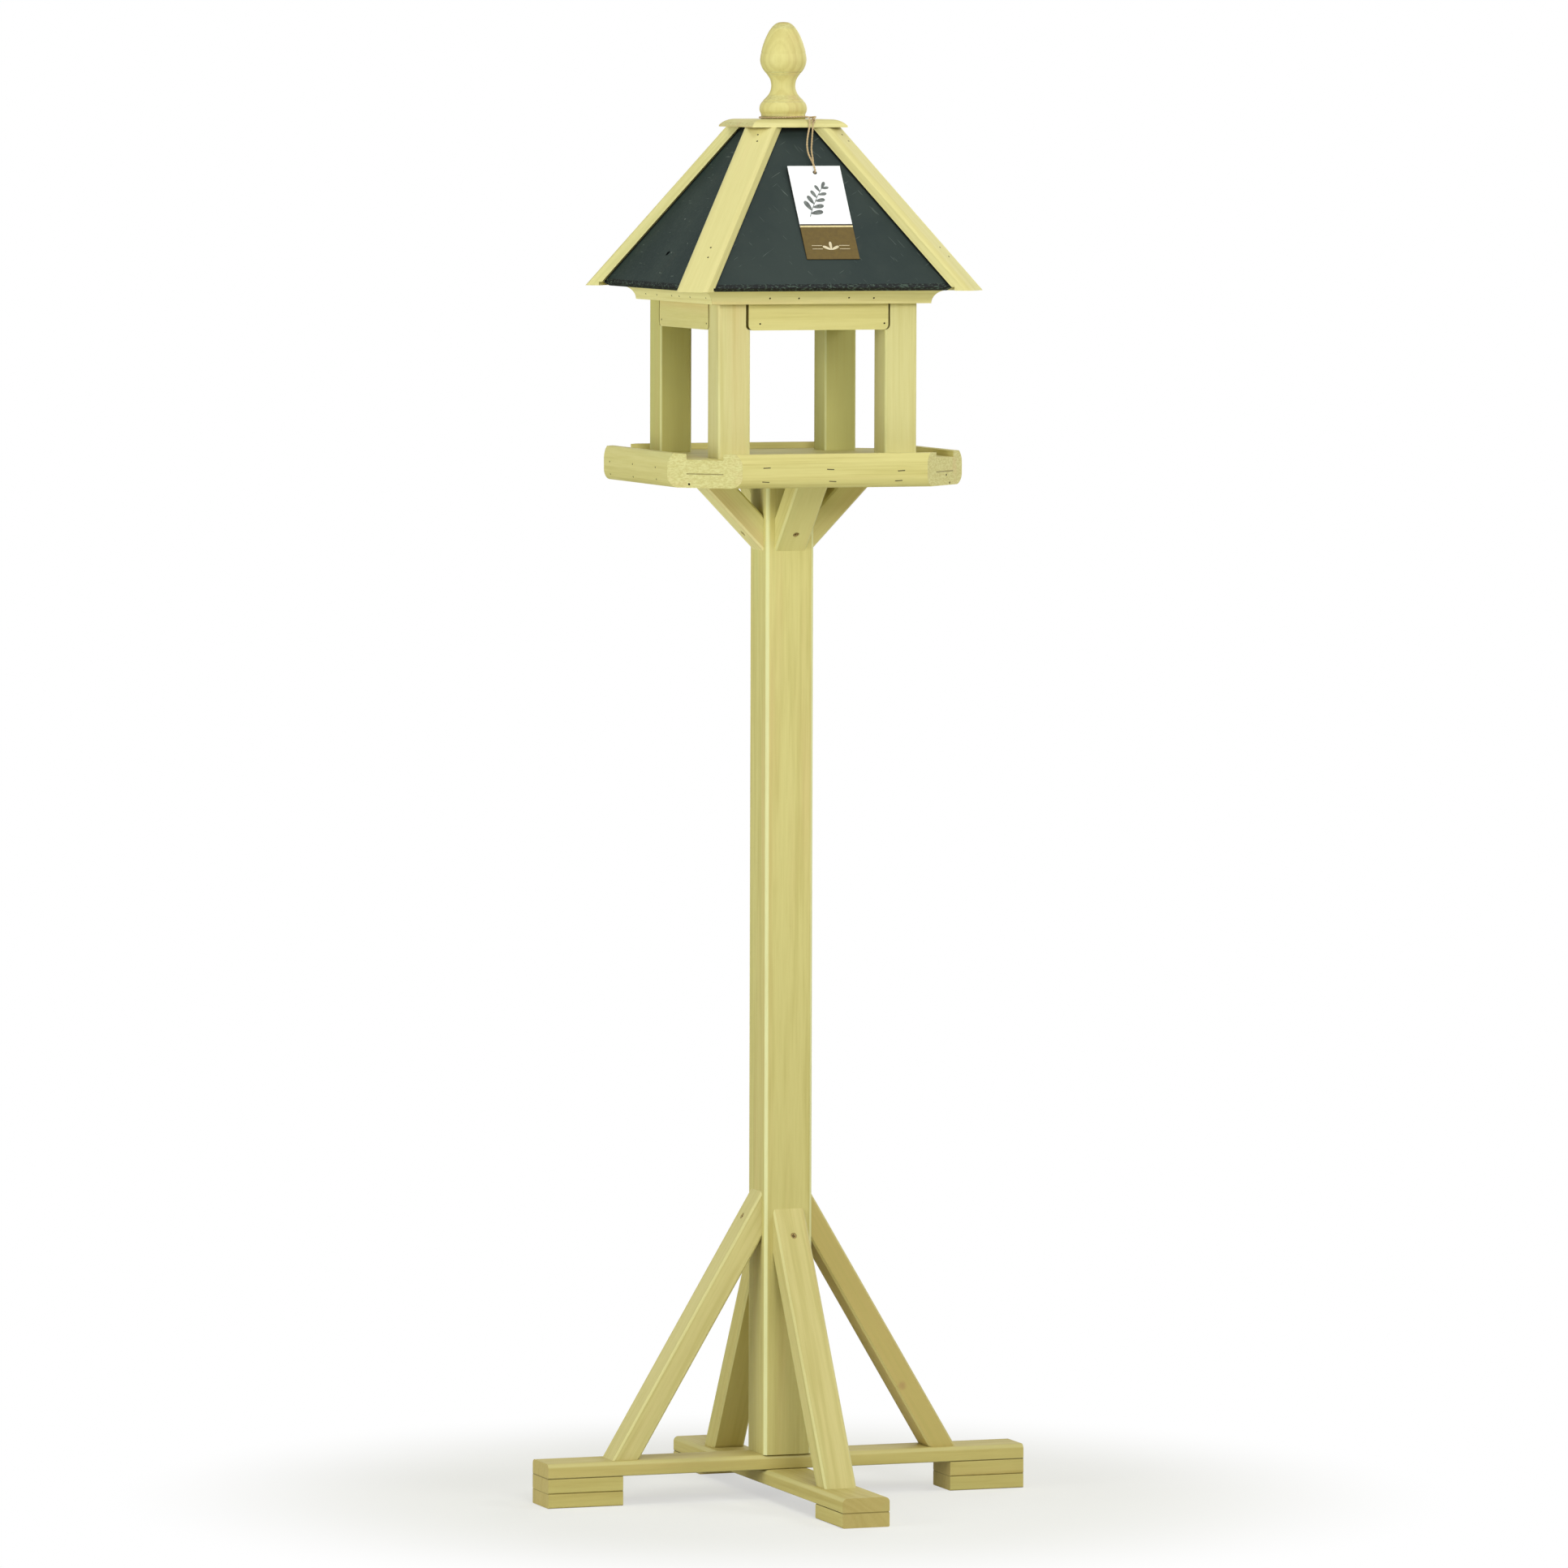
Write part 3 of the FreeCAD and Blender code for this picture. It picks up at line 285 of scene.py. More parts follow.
def slate_material(name, seed, depth, gloss=0.25):
    """Riven blue-green slate: soft mottling, faint scratches, white nicks, painted shade beside the
    battens, and a dark chipped foot.
    """
    material, g = plain(name)
    spot = g.spot()
    own = g.vector("ADD", spot, (seed, 0.4 * seed, 0.7 * seed))
    cloud = g.noise(own, 14.0, 5.0)
    grainy = g.noise(own, 420.0, 4.0, 0.7)
    riven = g.noise(g.vector("MULTIPLY", own, (1.0, 1.0, 0.6)), 38.0, 6.0, 0.6)

    def shade(red, green, blue):
        return srgb(red * depth, green * depth, blue * depth)

    colour = g.mix(g.ramp(cloud, 0.3, 0.7), shade(36, 51, 49), shade(50, 63, 59))
    colour = g.mix(g.ramp(grainy, 0.4, 0.8, 0.0, 0.3), colour, shade(66, 78, 72))
    rusty = g.noise(g.vector("ADD", own, (1.3, 4.1, 2.2)), 30.0, 4.0)
    colour = g.mix(g.ramp(rusty, 0.60, 0.78, 0.0, 0.25), colour, shade(84, 82, 70))
    for turn, size in ((0.5, 7.0), (-0.9, 9.0)):
        turned = g.add("ShaderNodeVectorRotate", {"Vector": own, "Axis": Y_AXIS, "Angle": turn}).outputs[0]
        scratch = g.noise(g.vector("MULTIPLY", turned, (5.0, 5.0, 110.0)), size, 1.0, 0.5)
        colour = g.mix(g.ramp(scratch, 0.735, 0.76, 0.0, 0.4), colour, srgb(112, 122, 114))
    nick = g.noise(g.vector("ADD", own, (7.0, 2.0, 3.0)), 130.0, 3.0)
    colour = g.mix(g.ramp(nick, 0.74, 0.78, 0.0, 0.6), colour, srgb(138, 146, 138))
    # painted shade: the dark line where the slate goes under a batten
    batten_shade = g.openness(7 * MM, samples=12)
    colour = g.mix(g.ramp(batten_shade, 0.45, 0.85, 0.85, 0.0), colour, srgb(8, 11, 12))
    # the chipped edge at the eaves: nearly black, with pale flecks
    ragged = g.noise(g.vector("MULTIPLY", own, (1.0, 1.0, 0.4)), 260.0, 3.0, 0.7)
    level = g.math("SUBTRACT", g.height(spot), g.math("MULTIPLY", ragged, 3.0 * MM))
    foot = g.ramp(level, EAVE + CHIPS_LOW, EAVE + CHIPS_HIGH, 1.0, 0.0)
    flecked = g.noise(g.vector("MULTIPLY", own, (1.0, 1.0, 2.2)), 330.0, 2.0, 0.6)
    chips = g.mix(g.ramp(flecked, 0.50, 0.68), srgb(5, 8, 9), shade(84, 104, 90))
    colour = g.mix(g.math("MULTIPLY", foot, 0.97), colour, chips)
    relief = g.math("ADD", riven, g.math("MULTIPLY", grainy, 0.25))
    g.finish({"Base Color": colour, "Roughness": g.ramp(grainy, 0.2, 0.8, 0.52, 0.74),
              "Normal": g.bump(0.35, 0.9 * MM, relief), "Specular IOR Level": gloss})
    return material


def metal_material(name, colour, stained, roughness):
    """Dull plated or rusting steel with small stains."""
    material, g = plain(name)
    tone = g.mix(g.ramp(g.noise(g.spot(), 900.0, 3.0), 0.35, 0.7), colour, stained)
    g.finish({"Base Color": tone, "Roughness": roughness, "Metallic": 0.3})
    return material


def finish_material(name, first, second, scale, roughness, sheen=0.0, crevice_shade=0.0, gloss=0.5):
    """A two-tone mottled finish, for card, ink, jute and the like, with painted shade in close corners as
    strong as crevice_shade.
    """
    material, g = plain(name)
    cloud = g.noise(g.spot(), scale, 4.0, 0.65)
    colour = g.mix(g.ramp(cloud, 0.3, 0.7), first, second)
    # painted shade in close corners
    if crevice_shade:
        colour = g.mix(g.ramp(g.openness(5 * MM), 0.25, 0.7, crevice_shade, 0.0), colour, srgb(92, 72, 42))
    g.finish({"Base Color": colour, "Roughness": roughness, "Normal": g.bump(0.2, 0.1 * MM, cloud),
              "Sheen Weight": sheen, "Specular IOR Level": gloss})
    return material


SLATES = {
    "front": slate_material("slate_front", 0.0, 0.84),
    "right": slate_material("slate_right", 2.3, 0.86),
    "back": slate_material("slate_back", 4.1, 0.82),
    "left": slate_material("slate_left", 6.7, 0.88, gloss=0.06),
}
PLATED = metal_material("screw_plated", srgb(172, 146, 86), srgb(124, 102, 52), 0.5)
# painted shade: the dark of the screws' cross recesses
RECESS_SHADE = metal_material("recess_painted_shade", srgb(28, 23, 10), srgb(44, 36, 17), 0.8)
NAIL = finish_material("nail_dark", srgb(58, 48, 28), srgb(42, 34, 18), 900.0, 0.8, gloss=0.05)
# painted shade: the dark of the slate's old nail hole
HOLE_SHADE = finish_material("slate_hole_shade", srgb(5, 6, 7), srgb(11, 13, 13), 900.0, 0.9, gloss=0.0)
STAPLE = metal_material("staple_dull", srgb(90, 80, 48), srgb(70, 60, 34), 0.7)
CARD = finish_material("tag_card", srgb(252, 253, 255), srgb(247, 249, 253), 300.0, 0.45)
BAND = finish_material("tag_band", srgb(98, 78, 16), srgb(88, 69, 10), 200.0, 0.6)
RULE = finish_material("tag_rule", srgb(228, 212, 160), srgb(214, 196, 140), 400.0, 0.4)
LINE = finish_material("tag_line", srgb(52, 46, 38), srgb(66, 58, 48), 400.0, 0.5)
SPRIG = finish_material("tag_sprig", srgb(74, 78, 76), srgb(122, 128, 124), 260.0, 0.5)
CREAM = finish_material("tag_cream", srgb(226, 214, 182), srgb(206, 192, 156), 400.0, 0.5)
JUTE = finish_material("jute", srgb(218, 194, 148), srgb(178, 148, 102), 1500.0, 0.9, sheen=0.3, crevice_shade=0.8)


# ------------------------ dressing the CAD nodes

LIGHT_WOOD = srgb(218, 209, 139)
DARK_WOOD = srgb(190, 178, 104)
PALE_WOOD = srgb(222, 213, 149)
FAIR_WOOD = srgb(232, 224, 160)
WARM_WOOD = srgb(211, 198, 126)
TAN_WOOD = srgb(182, 164, 92)
# the right lower brace's darker tone is painted shade at the base
LOWER_BRACE_WOODS_AND_SHADE = {"front": srgb(224, 213, 147), "right": srgb(206, 187, 116), "back": WARM_WOOD,
                     "left": srgb(225, 215, 151)}
# the back posts' darker tones are painted shade
POST_WOODS_AND_SHADE = {"front_left": srgb(217, 210, 150), "front_right": srgb(217, 210, 148),
              "back_right": srgb(198, 195, 122), "back_left": srgb(198, 193, 118)}
# how strong the painted highlight on the corner posts' arrises is
FRONT_POST_HIGHLIGHT, BACK_POST_HIGHLIGHT = 0.15, 0.5
# the braces' lean from upright: the lower ones run outwards as they go down, the upper ones inwards
LOWER_LEAN = math.radians(30.7)
UPPER_LEAN = math.radians(-44)
# the roof's pitch as in part.py, and the fall of its hips
ROOF_PITCH = math.radians(55.42)
HIP_FALL = math.atan(math.tan(ROOF_PITCH) / math.sqrt(2))
# a small pink knot low on the front of the right lower brace
BRACE_KNOT = (0.1270, -0.0170, 0.1095)


def dress(name, material):
    """Gives a CAD node its material."""
    data = nodes[name].data
    data.materials.clear()
    data.materials.append(material)


def dress_wood():
    """Each wooden piece, with the grain along its length."""
    dress("main_post", wood(Z_AXIS, X_AXIS, LIGHT_WOOD, DARK_WOOD, contrast=0.6, edge=0.75))
    for name, axis in (("upper_leg", X_AXIS), ("lower_leg", Y_AXIS)):
        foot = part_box(name)[0][2]
        dress(name, wood(axis, Z_AXIS, WARM_WOOD, TAN_WOOD, contrast=0.6, edge=0.2, seam=foot))
    for name in nodes:
        if name.startswith("foot_block"):
            axis = X_AXIS if "left" in name or "right" in name else Y_AXIS
            dress(name, wood(axis, Z_AXIS, WARM_WOOD, TAN_WOOD, contrast=0.7, seam=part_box(name)[1][2]))
    for name in ("tray_floor", "tray_sub_base"):
        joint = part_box("tray_floor")[0][2]
        dress(name, wood(X_AXIS, Z_AXIS, LIGHT_WOOD, DARK_WOOD, contrast=0.6, seam=joint))
    for side, way in OUTWARD.items():
        level = way.cross(UP)
        dress(f"tray_side_{side}", wood(level, UP, LIGHT_WOOD, DARK_WOOD, contrast=0.6))
        dress(f"header_rail_{side}", wood(level, UP, LIGHT_WOOD, DARK_WOOD, contrast=0.55))
        dress(f"cornice_{side}", wood(level, UP, FAIR_WOOD, DARK_WOOD, contrast=0.4))
        axis = way * math.sin(LOWER_LEAN) - UP * math.cos(LOWER_LEAN)
        knot = BRACE_KNOT if side == "right" else NO_KNOT
        dress(f"lower_brace_{side}", wood(axis, level, LOWER_BRACE_WOODS_AND_SHADE[side], DARK_WOOD, contrast=0.55,
                                          edge=0.22, knot=knot))
        axis = way * math.sin(UPPER_LEAN) - UP * math.cos(UPPER_LEAN)
        # the left upper brace's lighter tone is painted light, against the shade under the tray
        early = FAIR_WOOD if side == "left" else LIGHT_WOOD
        dress(f"upper_brace_{side}", wood(axis, level, early, DARK_WOOD, contrast=0.45, edge=0.25))
    for corner, way in CORNERS.items():
        slope = way * math.cos(HIP_FALL) - UP * math.sin(HIP_FALL)
        across = way.cross(UP)
        arris_highlight = FRONT_POST_HIGHLIGHT if corner.startswith("front") else BACK_POST_HIGHLIGHT
        dress(f"corner_post_{corner}", wood(Z_AXIS, X_AXIS, POST_WOODS_AND_SHADE[corner], DARK_WOOD, edge=arris_highlight))
        dress(f"hip_batten_{corner}", wood(slope, across, PALE_WOOD, DARK_WOOD, contrast=0.4))
        dress(f"hip_rafter_{corner}", wood(slope, across, LIGHT_WOOD, DARK_WOOD))
    dress("king_block", wood(Z_AXIS, X_AXIS, LIGHT_WOOD, DARK_WOOD))
    dress("cap_plate", wood(X_AXIS, UP, FAIR_WOOD, DARK_WOOD, contrast=0.4))
    dress("finial_dowel", wood(Z_AXIS, X_AXIS, LIGHT_WOOD, DARK_WOOD))


dress_wood()
for slate_side, slate in SLATES.items():
    dress(f"roof_slate_{slate_side}", slate)


def mesh_piece(name, mesh, materials):
    """A new piece on the part's one body."""
    data = bpy.data.meshes.new(name)
    mesh.to_mesh(data)
    mesh.free()
    for material in materials:
        data.materials.append(material)
    piece = link(name, data)
    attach(piece, "root")
    return piece


# ------------------------ twine and knot

# the route in part.py, in metres
TWINE_ROUTE = [
    (0.0158, -0.0471, 1.4016),
    (0.0205, -0.0380, 1.4043),
    (0.0260, -0.0245, 1.4044),
    (0.0275, -0.0080, 1.4038),
    (0.0225, 0.0105, 1.4036),
    (0.0085, 0.0238, 1.4036),
    (-0.0105, 0.0230, 1.4036),
    (-0.0235, 0.0098, 1.4036),
    (-0.0245, -0.0080, 1.4036),
    (-0.0135, -0.0223, 1.4036),
    (0.0025, -0.0285, 1.4042),
    (0.0105, -0.0385, 1.4050),
    (0.0105, -0.0495, 1.4042),
    (0.0082, -0.0575, 1.3975),
    (0.0050, -0.0603, 1.3875),
    (0.0026, -0.0632, 1.3770),
    (0.0030, -0.0666, 1.3672),
    (0.0060, -0.0700, 1.3603),
    (0.0073, -0.0724, 1.3553),
    (0.0075, -0.07516, 1.35113),
    (0.0075, -0.07401, 1.34873),
    (0.0075, -0.07137, 1.34852),
    (0.0075, -0.06857, 1.35267),
    (0.0089, -0.06499, 1.36076),
    (0.0076, -0.0625, 1.3715),
    (0.0094, -0.0600, 1.3825),
    (0.0109, -0.0576, 1.3920),
    (0.01355, -0.0517, 1.3989),
]
# the two plies: their radius, their corners, how unevenly they are spun, and the steps along them
PLY_RADIUS = 0.54 * MM
PLY_SIDES = 8
PLY_WOBBLE, WOBBLE_SCALE = 0.12, 900
TWINE_STEP = 0.45 * MM
# how far the plies lie from the twine's middle, and their turn in radians at each step
TWINE_OFFSET, TWINE_TWIST = 0.44 * MM, 0.5
KNOT_OFFSET, KNOT_TWIST = 0.4 * MM, 0.35
KNOT_STEPS = 120


def spline_points(route):
    """Points along the smooth line that the route controls."""
    curve = bpy.data.curves.new("twine_line", "CURVE")
    curve.dimensions = "3D"
    curve.resolution_u = 10
    spline = curve.splines.new("NURBS")
    spline.points.add(len(route) - 1)
    for point, place in zip(spline.points, route):
        point.co = (*place, 1)
    spline.order_u = 3
    spline.use_endpoint_u = True
    holder = link("twine_line", curve)
    bpy.context.view_layer.update()
    line = bpy.data.meshes.new_from_object(holder.evaluated_get(bpy.context.evaluated_depsgraph_get()))
    points = [vertex.co.copy() for vertex in line.vertices]
    bpy.data.objects.remove(holder)
    return points


def evenly(points, step):
    """The same line with its points a fixed step apart."""
    spaced, left = [points[0]], step
    for start, end in zip(points, points[1:]):
        length = (end - start).length
        at = left
        while at <= length:
            spaced.append(start.lerp(end, at / length))
            at += step
        left = at - length
    return spaced + [points[-1]]


def add_strand(mesh, points, offset, twist, phase):
    """A ply that winds about a line of points."""
    rings = []
    normal = (points[1] - points[0]).orthogonal().normalized()
    for i, point in enumerate(points):
        heading = (points[min(i + 1, len(points) - 1)] - points[max(i - 1, 0)]).normalized()
        normal = (normal - heading * normal.dot(heading)).normalized()
        binormal = heading.cross(normal)
        turn = phase + twist * i
        centre = point + (normal * math.cos(turn) + binormal * math.sin(turn)) * offset
        wobble = 1 + PLY_WOBBLE * noise.noise(point * WOBBLE_SCALE + Vector((phase, 0, 0)))
        ring = []
        for k in range(PLY_SIDES):
            angle = 2 * math.pi * k / PLY_SIDES
            spoke = normal * math.cos(angle) + binormal * math.sin(angle)
            ring.append(mesh.verts.new(centre + spoke * PLY_RADIUS * wobble))
        rings.append(ring)
    for first, second in zip(rings, rings[1:]):
        for k in range(PLY_SIDES):
            n = (k + 1) % PLY_SIDES
            face = mesh.faces.new((first[k], first[n], second[n], second[k]))
            face.smooth = True
    for cap in (rings[0][::-1], rings[-1]):
        mesh.faces.new(cap)


def plied(line, offset, twist):
    """Two plies about a line."""
    mesh = bmesh.new()
    for phase in (0.0, math.pi):
        add_strand(mesh, line, offset, twist, phase)
    return mesh


def knot_line():
    """The closed line of the overhand knot, about the middle of its CAD node."""
    low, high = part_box("twine_knot")
    centre = (Vector(low) + Vector(high)) / 2
    loop = []
    for i in range(KNOT_STEPS):
        turn = 2 * math.pi * i / KNOT_STEPS
        ring = 1.15 + 0.55 * math.cos(3 * turn)
        loop.append(centre + Vector((ring * math.cos(2 * turn), 0.9 * math.sin(3 * turn),
                                     1.15 * ring * math.sin(2 * turn))) * MM)
    return loop + [loop[0]]


def add_twine():
    """Two-ply jute twine, with its knot. Also gives the twine's line and its length."""
    line = evenly(spline_points(TWINE_ROUTE), TWINE_STEP)
    twine = mesh_piece("tag_twine_plies", plied(line, TWINE_OFFSET, TWINE_TWIST), [JUTE])
    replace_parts(twine, "tag_twine")
    knot = mesh_piece("twine_overhand_knot", plied(knot_line(), KNOT_OFFSET, KNOT_TWIST), [JUTE])
    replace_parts(knot, "twine_knot")
    length = sum((b - a).length for a, b in zip(line, line[1:]))
    return twine, knot, line, length


# ------------------------ hang tag

# sizes and places on the tag in millimetres, from its low left corner
TAG_WIDTH, TAG_LENGTH, TAG_THICK = 56, 110, 0.8
TAG_BOW = 0.25
TAG_HOLE = (28, 102.3)
HOLE_RADIUS = 2.3
# the card's grid: its columns' width, and half the square gap that it leaves about the hole
CELL = 2
HOLE_GAP = 4
# the tops of the brown band, the gold rule and the dark line, the rows of white, and the last row's foot
BAND_TOP, RULE_TOP, LINE_TOP = 37.6, 39.6, 41.4
WHITE_ROWS = 29
LAST_ROW = 108.1
# ink starts inside the card and ends just above it
INK_LOW, INK_HIGH = TAG_THICK - 0.2, TAG_THICK + 0.04
# the sprig's stem, its slant and its leaves' slant away from it in degrees
STEM = [(13 + 1.5 * k + 0.06 * k * k, 50 + 3.7 * k) for k in range(10)]
STEM_SLANT, LEAF_SPREAD = 64, 54
LEAF_CORNERS = 18


def tag_frame():
    """The tag's own axes from its CAD solid: a low corner in front, across, up the slope and outward."""
    corners = [vertex.co.copy() for vertex in nodes["hang_tag"].data.vertices]
    bottom = min(co.z for co in corners)
    top = max(co.z for co in corners)
    foot = min((co for co in corners if co.z < bottom + 1.2 * MM), key=lambda co: (round(co.x, 4), co.y))
    head = min((co for co in corners if co.z > top - 1.2 * MM), key=lambda co: (round(co.x, 4), co.y))
    right = Vector(X_AXIS)
    up = (head - foot).normalized()
    return foot, right, up, right.cross(up)


TAG_FOOT, TAG_RIGHT, TAG_UP, TAG_OUT = tag_frame()


def on_tag(x, y, z):
    """A place from millimetres across, up and out of the tag's back, which bows a little inwards."""
    inward = TAG_THICK + TAG_BOW * math.sin(math.pi * y / TAG_LENGTH)
    return TAG_FOOT + (TAG_RIGHT * x + TAG_UP * y + TAG_OUT * (z - inward)) * MM


def card_levels():
    """The heights between the card's rows: whole cells in the band and beside the hole, and even rows."""
    gap_foot = TAG_HOLE[1] - HOLE_GAP
    levels = [CELL * j for j in range(int(BAND_TOP // CELL) + 1)] + [BAND_TOP, RULE_TOP, LINE_TOP]
    levels += [LINE_TOP + (gap_foot - LINE_TOP) * k / WHITE_ROWS for k in range(1, WHITE_ROWS + 1)]
    levels += [gap_foot + CELL * k for k in range(1, 2 * HOLE_GAP // CELL + 1)] + [LAST_ROW, TAG_LENGTH]
    return levels


def printed(level):
    """The number of the card's material at a height: 0 white, 1 band, 2 rule, 3 line."""
    for number, top in enumerate((BAND_TOP, RULE_TOP, LINE_TOP), start=1):
        if level < top:
            return number
    return 0


def add_card():
    """The white card with its brown foot and printed lines, and its punched hole."""
    levels = card_levels()
    columns, rows = TAG_WIDTH // CELL, len(levels) - 1
    kinds = {}
    for i in range(columns):
        for j in range(rows):
            middle = (levels[j] + levels[j + 1]) / 2
            if max(abs(CELL * (i + 0.5) - TAG_HOLE[0]), abs(middle - TAG_HOLE[1])) > HOLE_GAP:
                kinds[i, j] = printed(middle)
    mesh = bmesh.new()
    sheets = []
    for height in (0.0, TAG_THICK):
        verts = {}
        for (i, j), kind in kinds.items():
            corners = []
            for key in ((i, j), (i + 1, j), (i + 1, j + 1), (i, j + 1)):
                if key not in verts:
                    verts[key] = mesh.verts.new(on_tag(CELL * key[0], levels[key[1]], height))
                corners.append(verts[key])
            face = mesh.faces.new(corners if height else corners[::-1])
            face.material_index = kind
        sheets.append(verts)
    base, top = sheets
    # the outer edge
    rim = [(i, 0) for i in range(columns)] + [(columns, j) for j in range(rows)]
    rim += [(i, rows) for i in range(columns, 0, -1)] + [(0, j) for j in range(rows, 0, -1)]
    for key, after in zip(rim, rim[1:] + rim[:1]):
        face = mesh.faces.new((base[key], base[after], top[after], top[key]))
        face.material_index = 1 if max(levels[key[1]], levels[after[1]]) <= BAND_TOP else 0
    # the punched hole in the square gap that the grid leaves
    angles = {}
    for i, j in top:
        x, y = CELL * i - TAG_HOLE[0], levels[j] - TAG_HOLE[1]
        if max(abs(x), abs(y)) < HOLE_GAP + 0.1:
            angles[i, j] = math.atan2(y, x)
    around = sorted(angles, key=angles.get)
    low_ring, high_ring = [
        {key: mesh.verts.new(on_tag(TAG_HOLE[0] + HOLE_RADIUS * math.cos(angles[key]),
                                    TAG_HOLE[1] + HOLE_RADIUS * math.sin(angles[key]), height))
         for key in around} for height in (0.0, TAG_THICK)]
    for key, after in zip(around, around[1:] + around[:1]):
        mesh.faces.new((base[key], base[after], low_ring[after], low_ring[key]))
        mesh.faces.new((top[key], high_ring[key], high_ring[after], top[after]))
        mesh.faces.new((low_ring[key], low_ring[after], high_ring[after], high_ring[key]))
    bmesh.ops.recalc_face_normals(mesh, faces=mesh.faces)
    card = mesh_piece("hang_tag_card", mesh, [CARD, BAND, RULE, LINE])
    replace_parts(card, "hang_tag")


def add_ink(mesh, outline):
    """A thin closed plate of printed ink over an outline on the tag."""
    upper = [mesh.verts.new(on_tag(x, y, INK_HIGH)) for x, y in outline]
    lower = [mesh.verts.new(on_tag(x, y, INK_LOW)) for x, y in outline]
    mesh.faces.new(upper)
    mesh.faces.new(lower[::-1])
    for k, corner in enumerate(upper):
        n = (k + 1) % len(upper)
        mesh.faces.new((lower[k], lower[n], upper[n], corner))


def leaf(x, y, degrees, size, plump=0.19):
    """The outline of a pointed leaf, from its foot."""
    angle = math.radians(degrees)
    outline = []
    for k in range(LEAF_CORNERS):
        t = 2 * math.pi * k / LEAF_CORNERS
        along = size * (0.5 - 0.5 * math.cos(t))
        half = plump * size * math.sin(t) * (1 - 0.35 * math.cos(t))
        outline.append((x + along * math.cos(angle) - half * math.sin(angle),
                        y + along * math.sin(angle) + half * math.cos(angle)))
    return outline


def stroke(points, width):
    """The outline of a line of even width through points."""
    one, other = [], []
    for i, (x, y) in enumerate(points):
        before, after = points[max(i - 1, 0)], points[min(i + 1, len(points) - 1)]
        heading = Vector((after[0] - before[0], after[1] - before[1])).normalized()
        one.append((x - heading.y * width / 2, y + heading.x * width / 2))
        other.append((x + heading.y * width / 2, y - heading.x * width / 2))
    return other + one[::-1]


def add_print():
    """The leaf sprig on the white, and a bud between two pairs of short lines on the band."""
    mesh = bmesh.new()
    add_ink(mesh, stroke(STEM, 0.7))
    for k, (x, y) in enumerate(STEM[1:]):
        spread = LEAF_SPREAD if k % 2 else -LEAF_SPREAD
        add_ink(mesh, leaf(x, y, STEM_SLANT + spread, 13.5 - 0.7 * k))
    add_ink(mesh, leaf(*STEM[-1], 62, 9))
    mesh_piece("hang_tag_sprig", mesh, [SPRIG])
    mesh = bmesh.new()
    for degrees in (90, 26, 154):
        add_ink(mesh, leaf(TAG_WIDTH / 2, 11, degrees, 9.5, plump=0.15))
    for start, end in ((8, 19), (37, 48)):
        for level in (12, 16):
            add_ink(mesh, stroke([(start, level), (end, level)], 0.5))
    mesh_piece("hang_tag_ornament", mesh, [CREAM])


twine, knot, twine_line, twine_length = add_twine()
add_card()
add_print()


# ------------------------ nails and staples

# how far out and how far up nails are looked for from, in metres
OUTSIDE, ABOVE = 0.3, 1.6
# the rest is in millimetres: a nail's radii and heights, from the middle of its head to its point
NAIL_PROFILE = ((0, 0.08), (0.6, 0.08), (0.95, 0.03), (1.05, -0.06), (0.6, -0.6), (0.6, -4.0), (0, -4.6))
NAIL_SIDES = 10
# the rows of nails: their levels, and their places along each side
NAIL_ROWS = {
    "tray_side": ((1054, 1041.5), {"left": (-80, -9, 62), "right": (-71, 4, 76), "back": (-75, -6, 67)}),
    "cornice": ((1224,), {"front": (-55.6, -24.4, 28, 55.7), "left": (-82, -47.6, -2, 21, 54.4, 102),
                          "right": (-96, -51, -12, 33, 88), "back": (-70, -22, 31, 64)}),
    "header_rail": ((1198,), {"front": (-62, 71), "left": (-69, 69), "right": (-66, 70),
                              "back": (-68, 64)}),
}
# the nails in each hip batten: how far out from the post's axis, and how far to the side
BATTEN_NAILS = ((64.6, 2.4), (70.9, 4.6), (173.3, 2.2), (182.7, 3.7))
# the larger nails in the tray's cut corners, each with its level and its place along the corner
CORNER_NAILS = {"front_left": ((1038.6, -17.5),), "front_right": ((1045.4, 3.8), (1037.0, 12.0)),
                "back_left": ((1044.2, -6.0), (1038.0, 9.0)), "back_right": ((1040.5, 7.0),)}
LARGE_NAIL = 1.25
# how far the nails stray from their places
ROW_STRAY, BATTEN_STRAY = 0.9, 1.2
# the staples: their places along the board, their levels and their slants in degrees
STAPLES = ((-72.6, 1055.6, 2), (-5, 1053.6, -3), (70.6, 1051.5, 4),
           (-73.5, 1041.5, -4), (-2.4, 1041.5, -3), (68, 1041.5, 3))
# a staple's crown and two legs: their shift along the crown, the depth of their middles, and their sizes
STAPLE_BARS = ((0, 0.22, (7.8, 1.05, 0.75)), (-3.2, 3.2, (0.8, 0.9, 6)), (3.2, 3.2, (0.8, 0.9, 6)))
STAPLE_EASE = 0.22


def surface_of(name):
    """A CAD node's surface, for finding where a line meets it."""
    data = nodes[name].data
    return BVHTree.FromPolygons([vertex.co for vertex in data.vertices],
                                [face.vertices for face in data.polygons])


def plain_shape(radius, angle, height):
    return radius, height


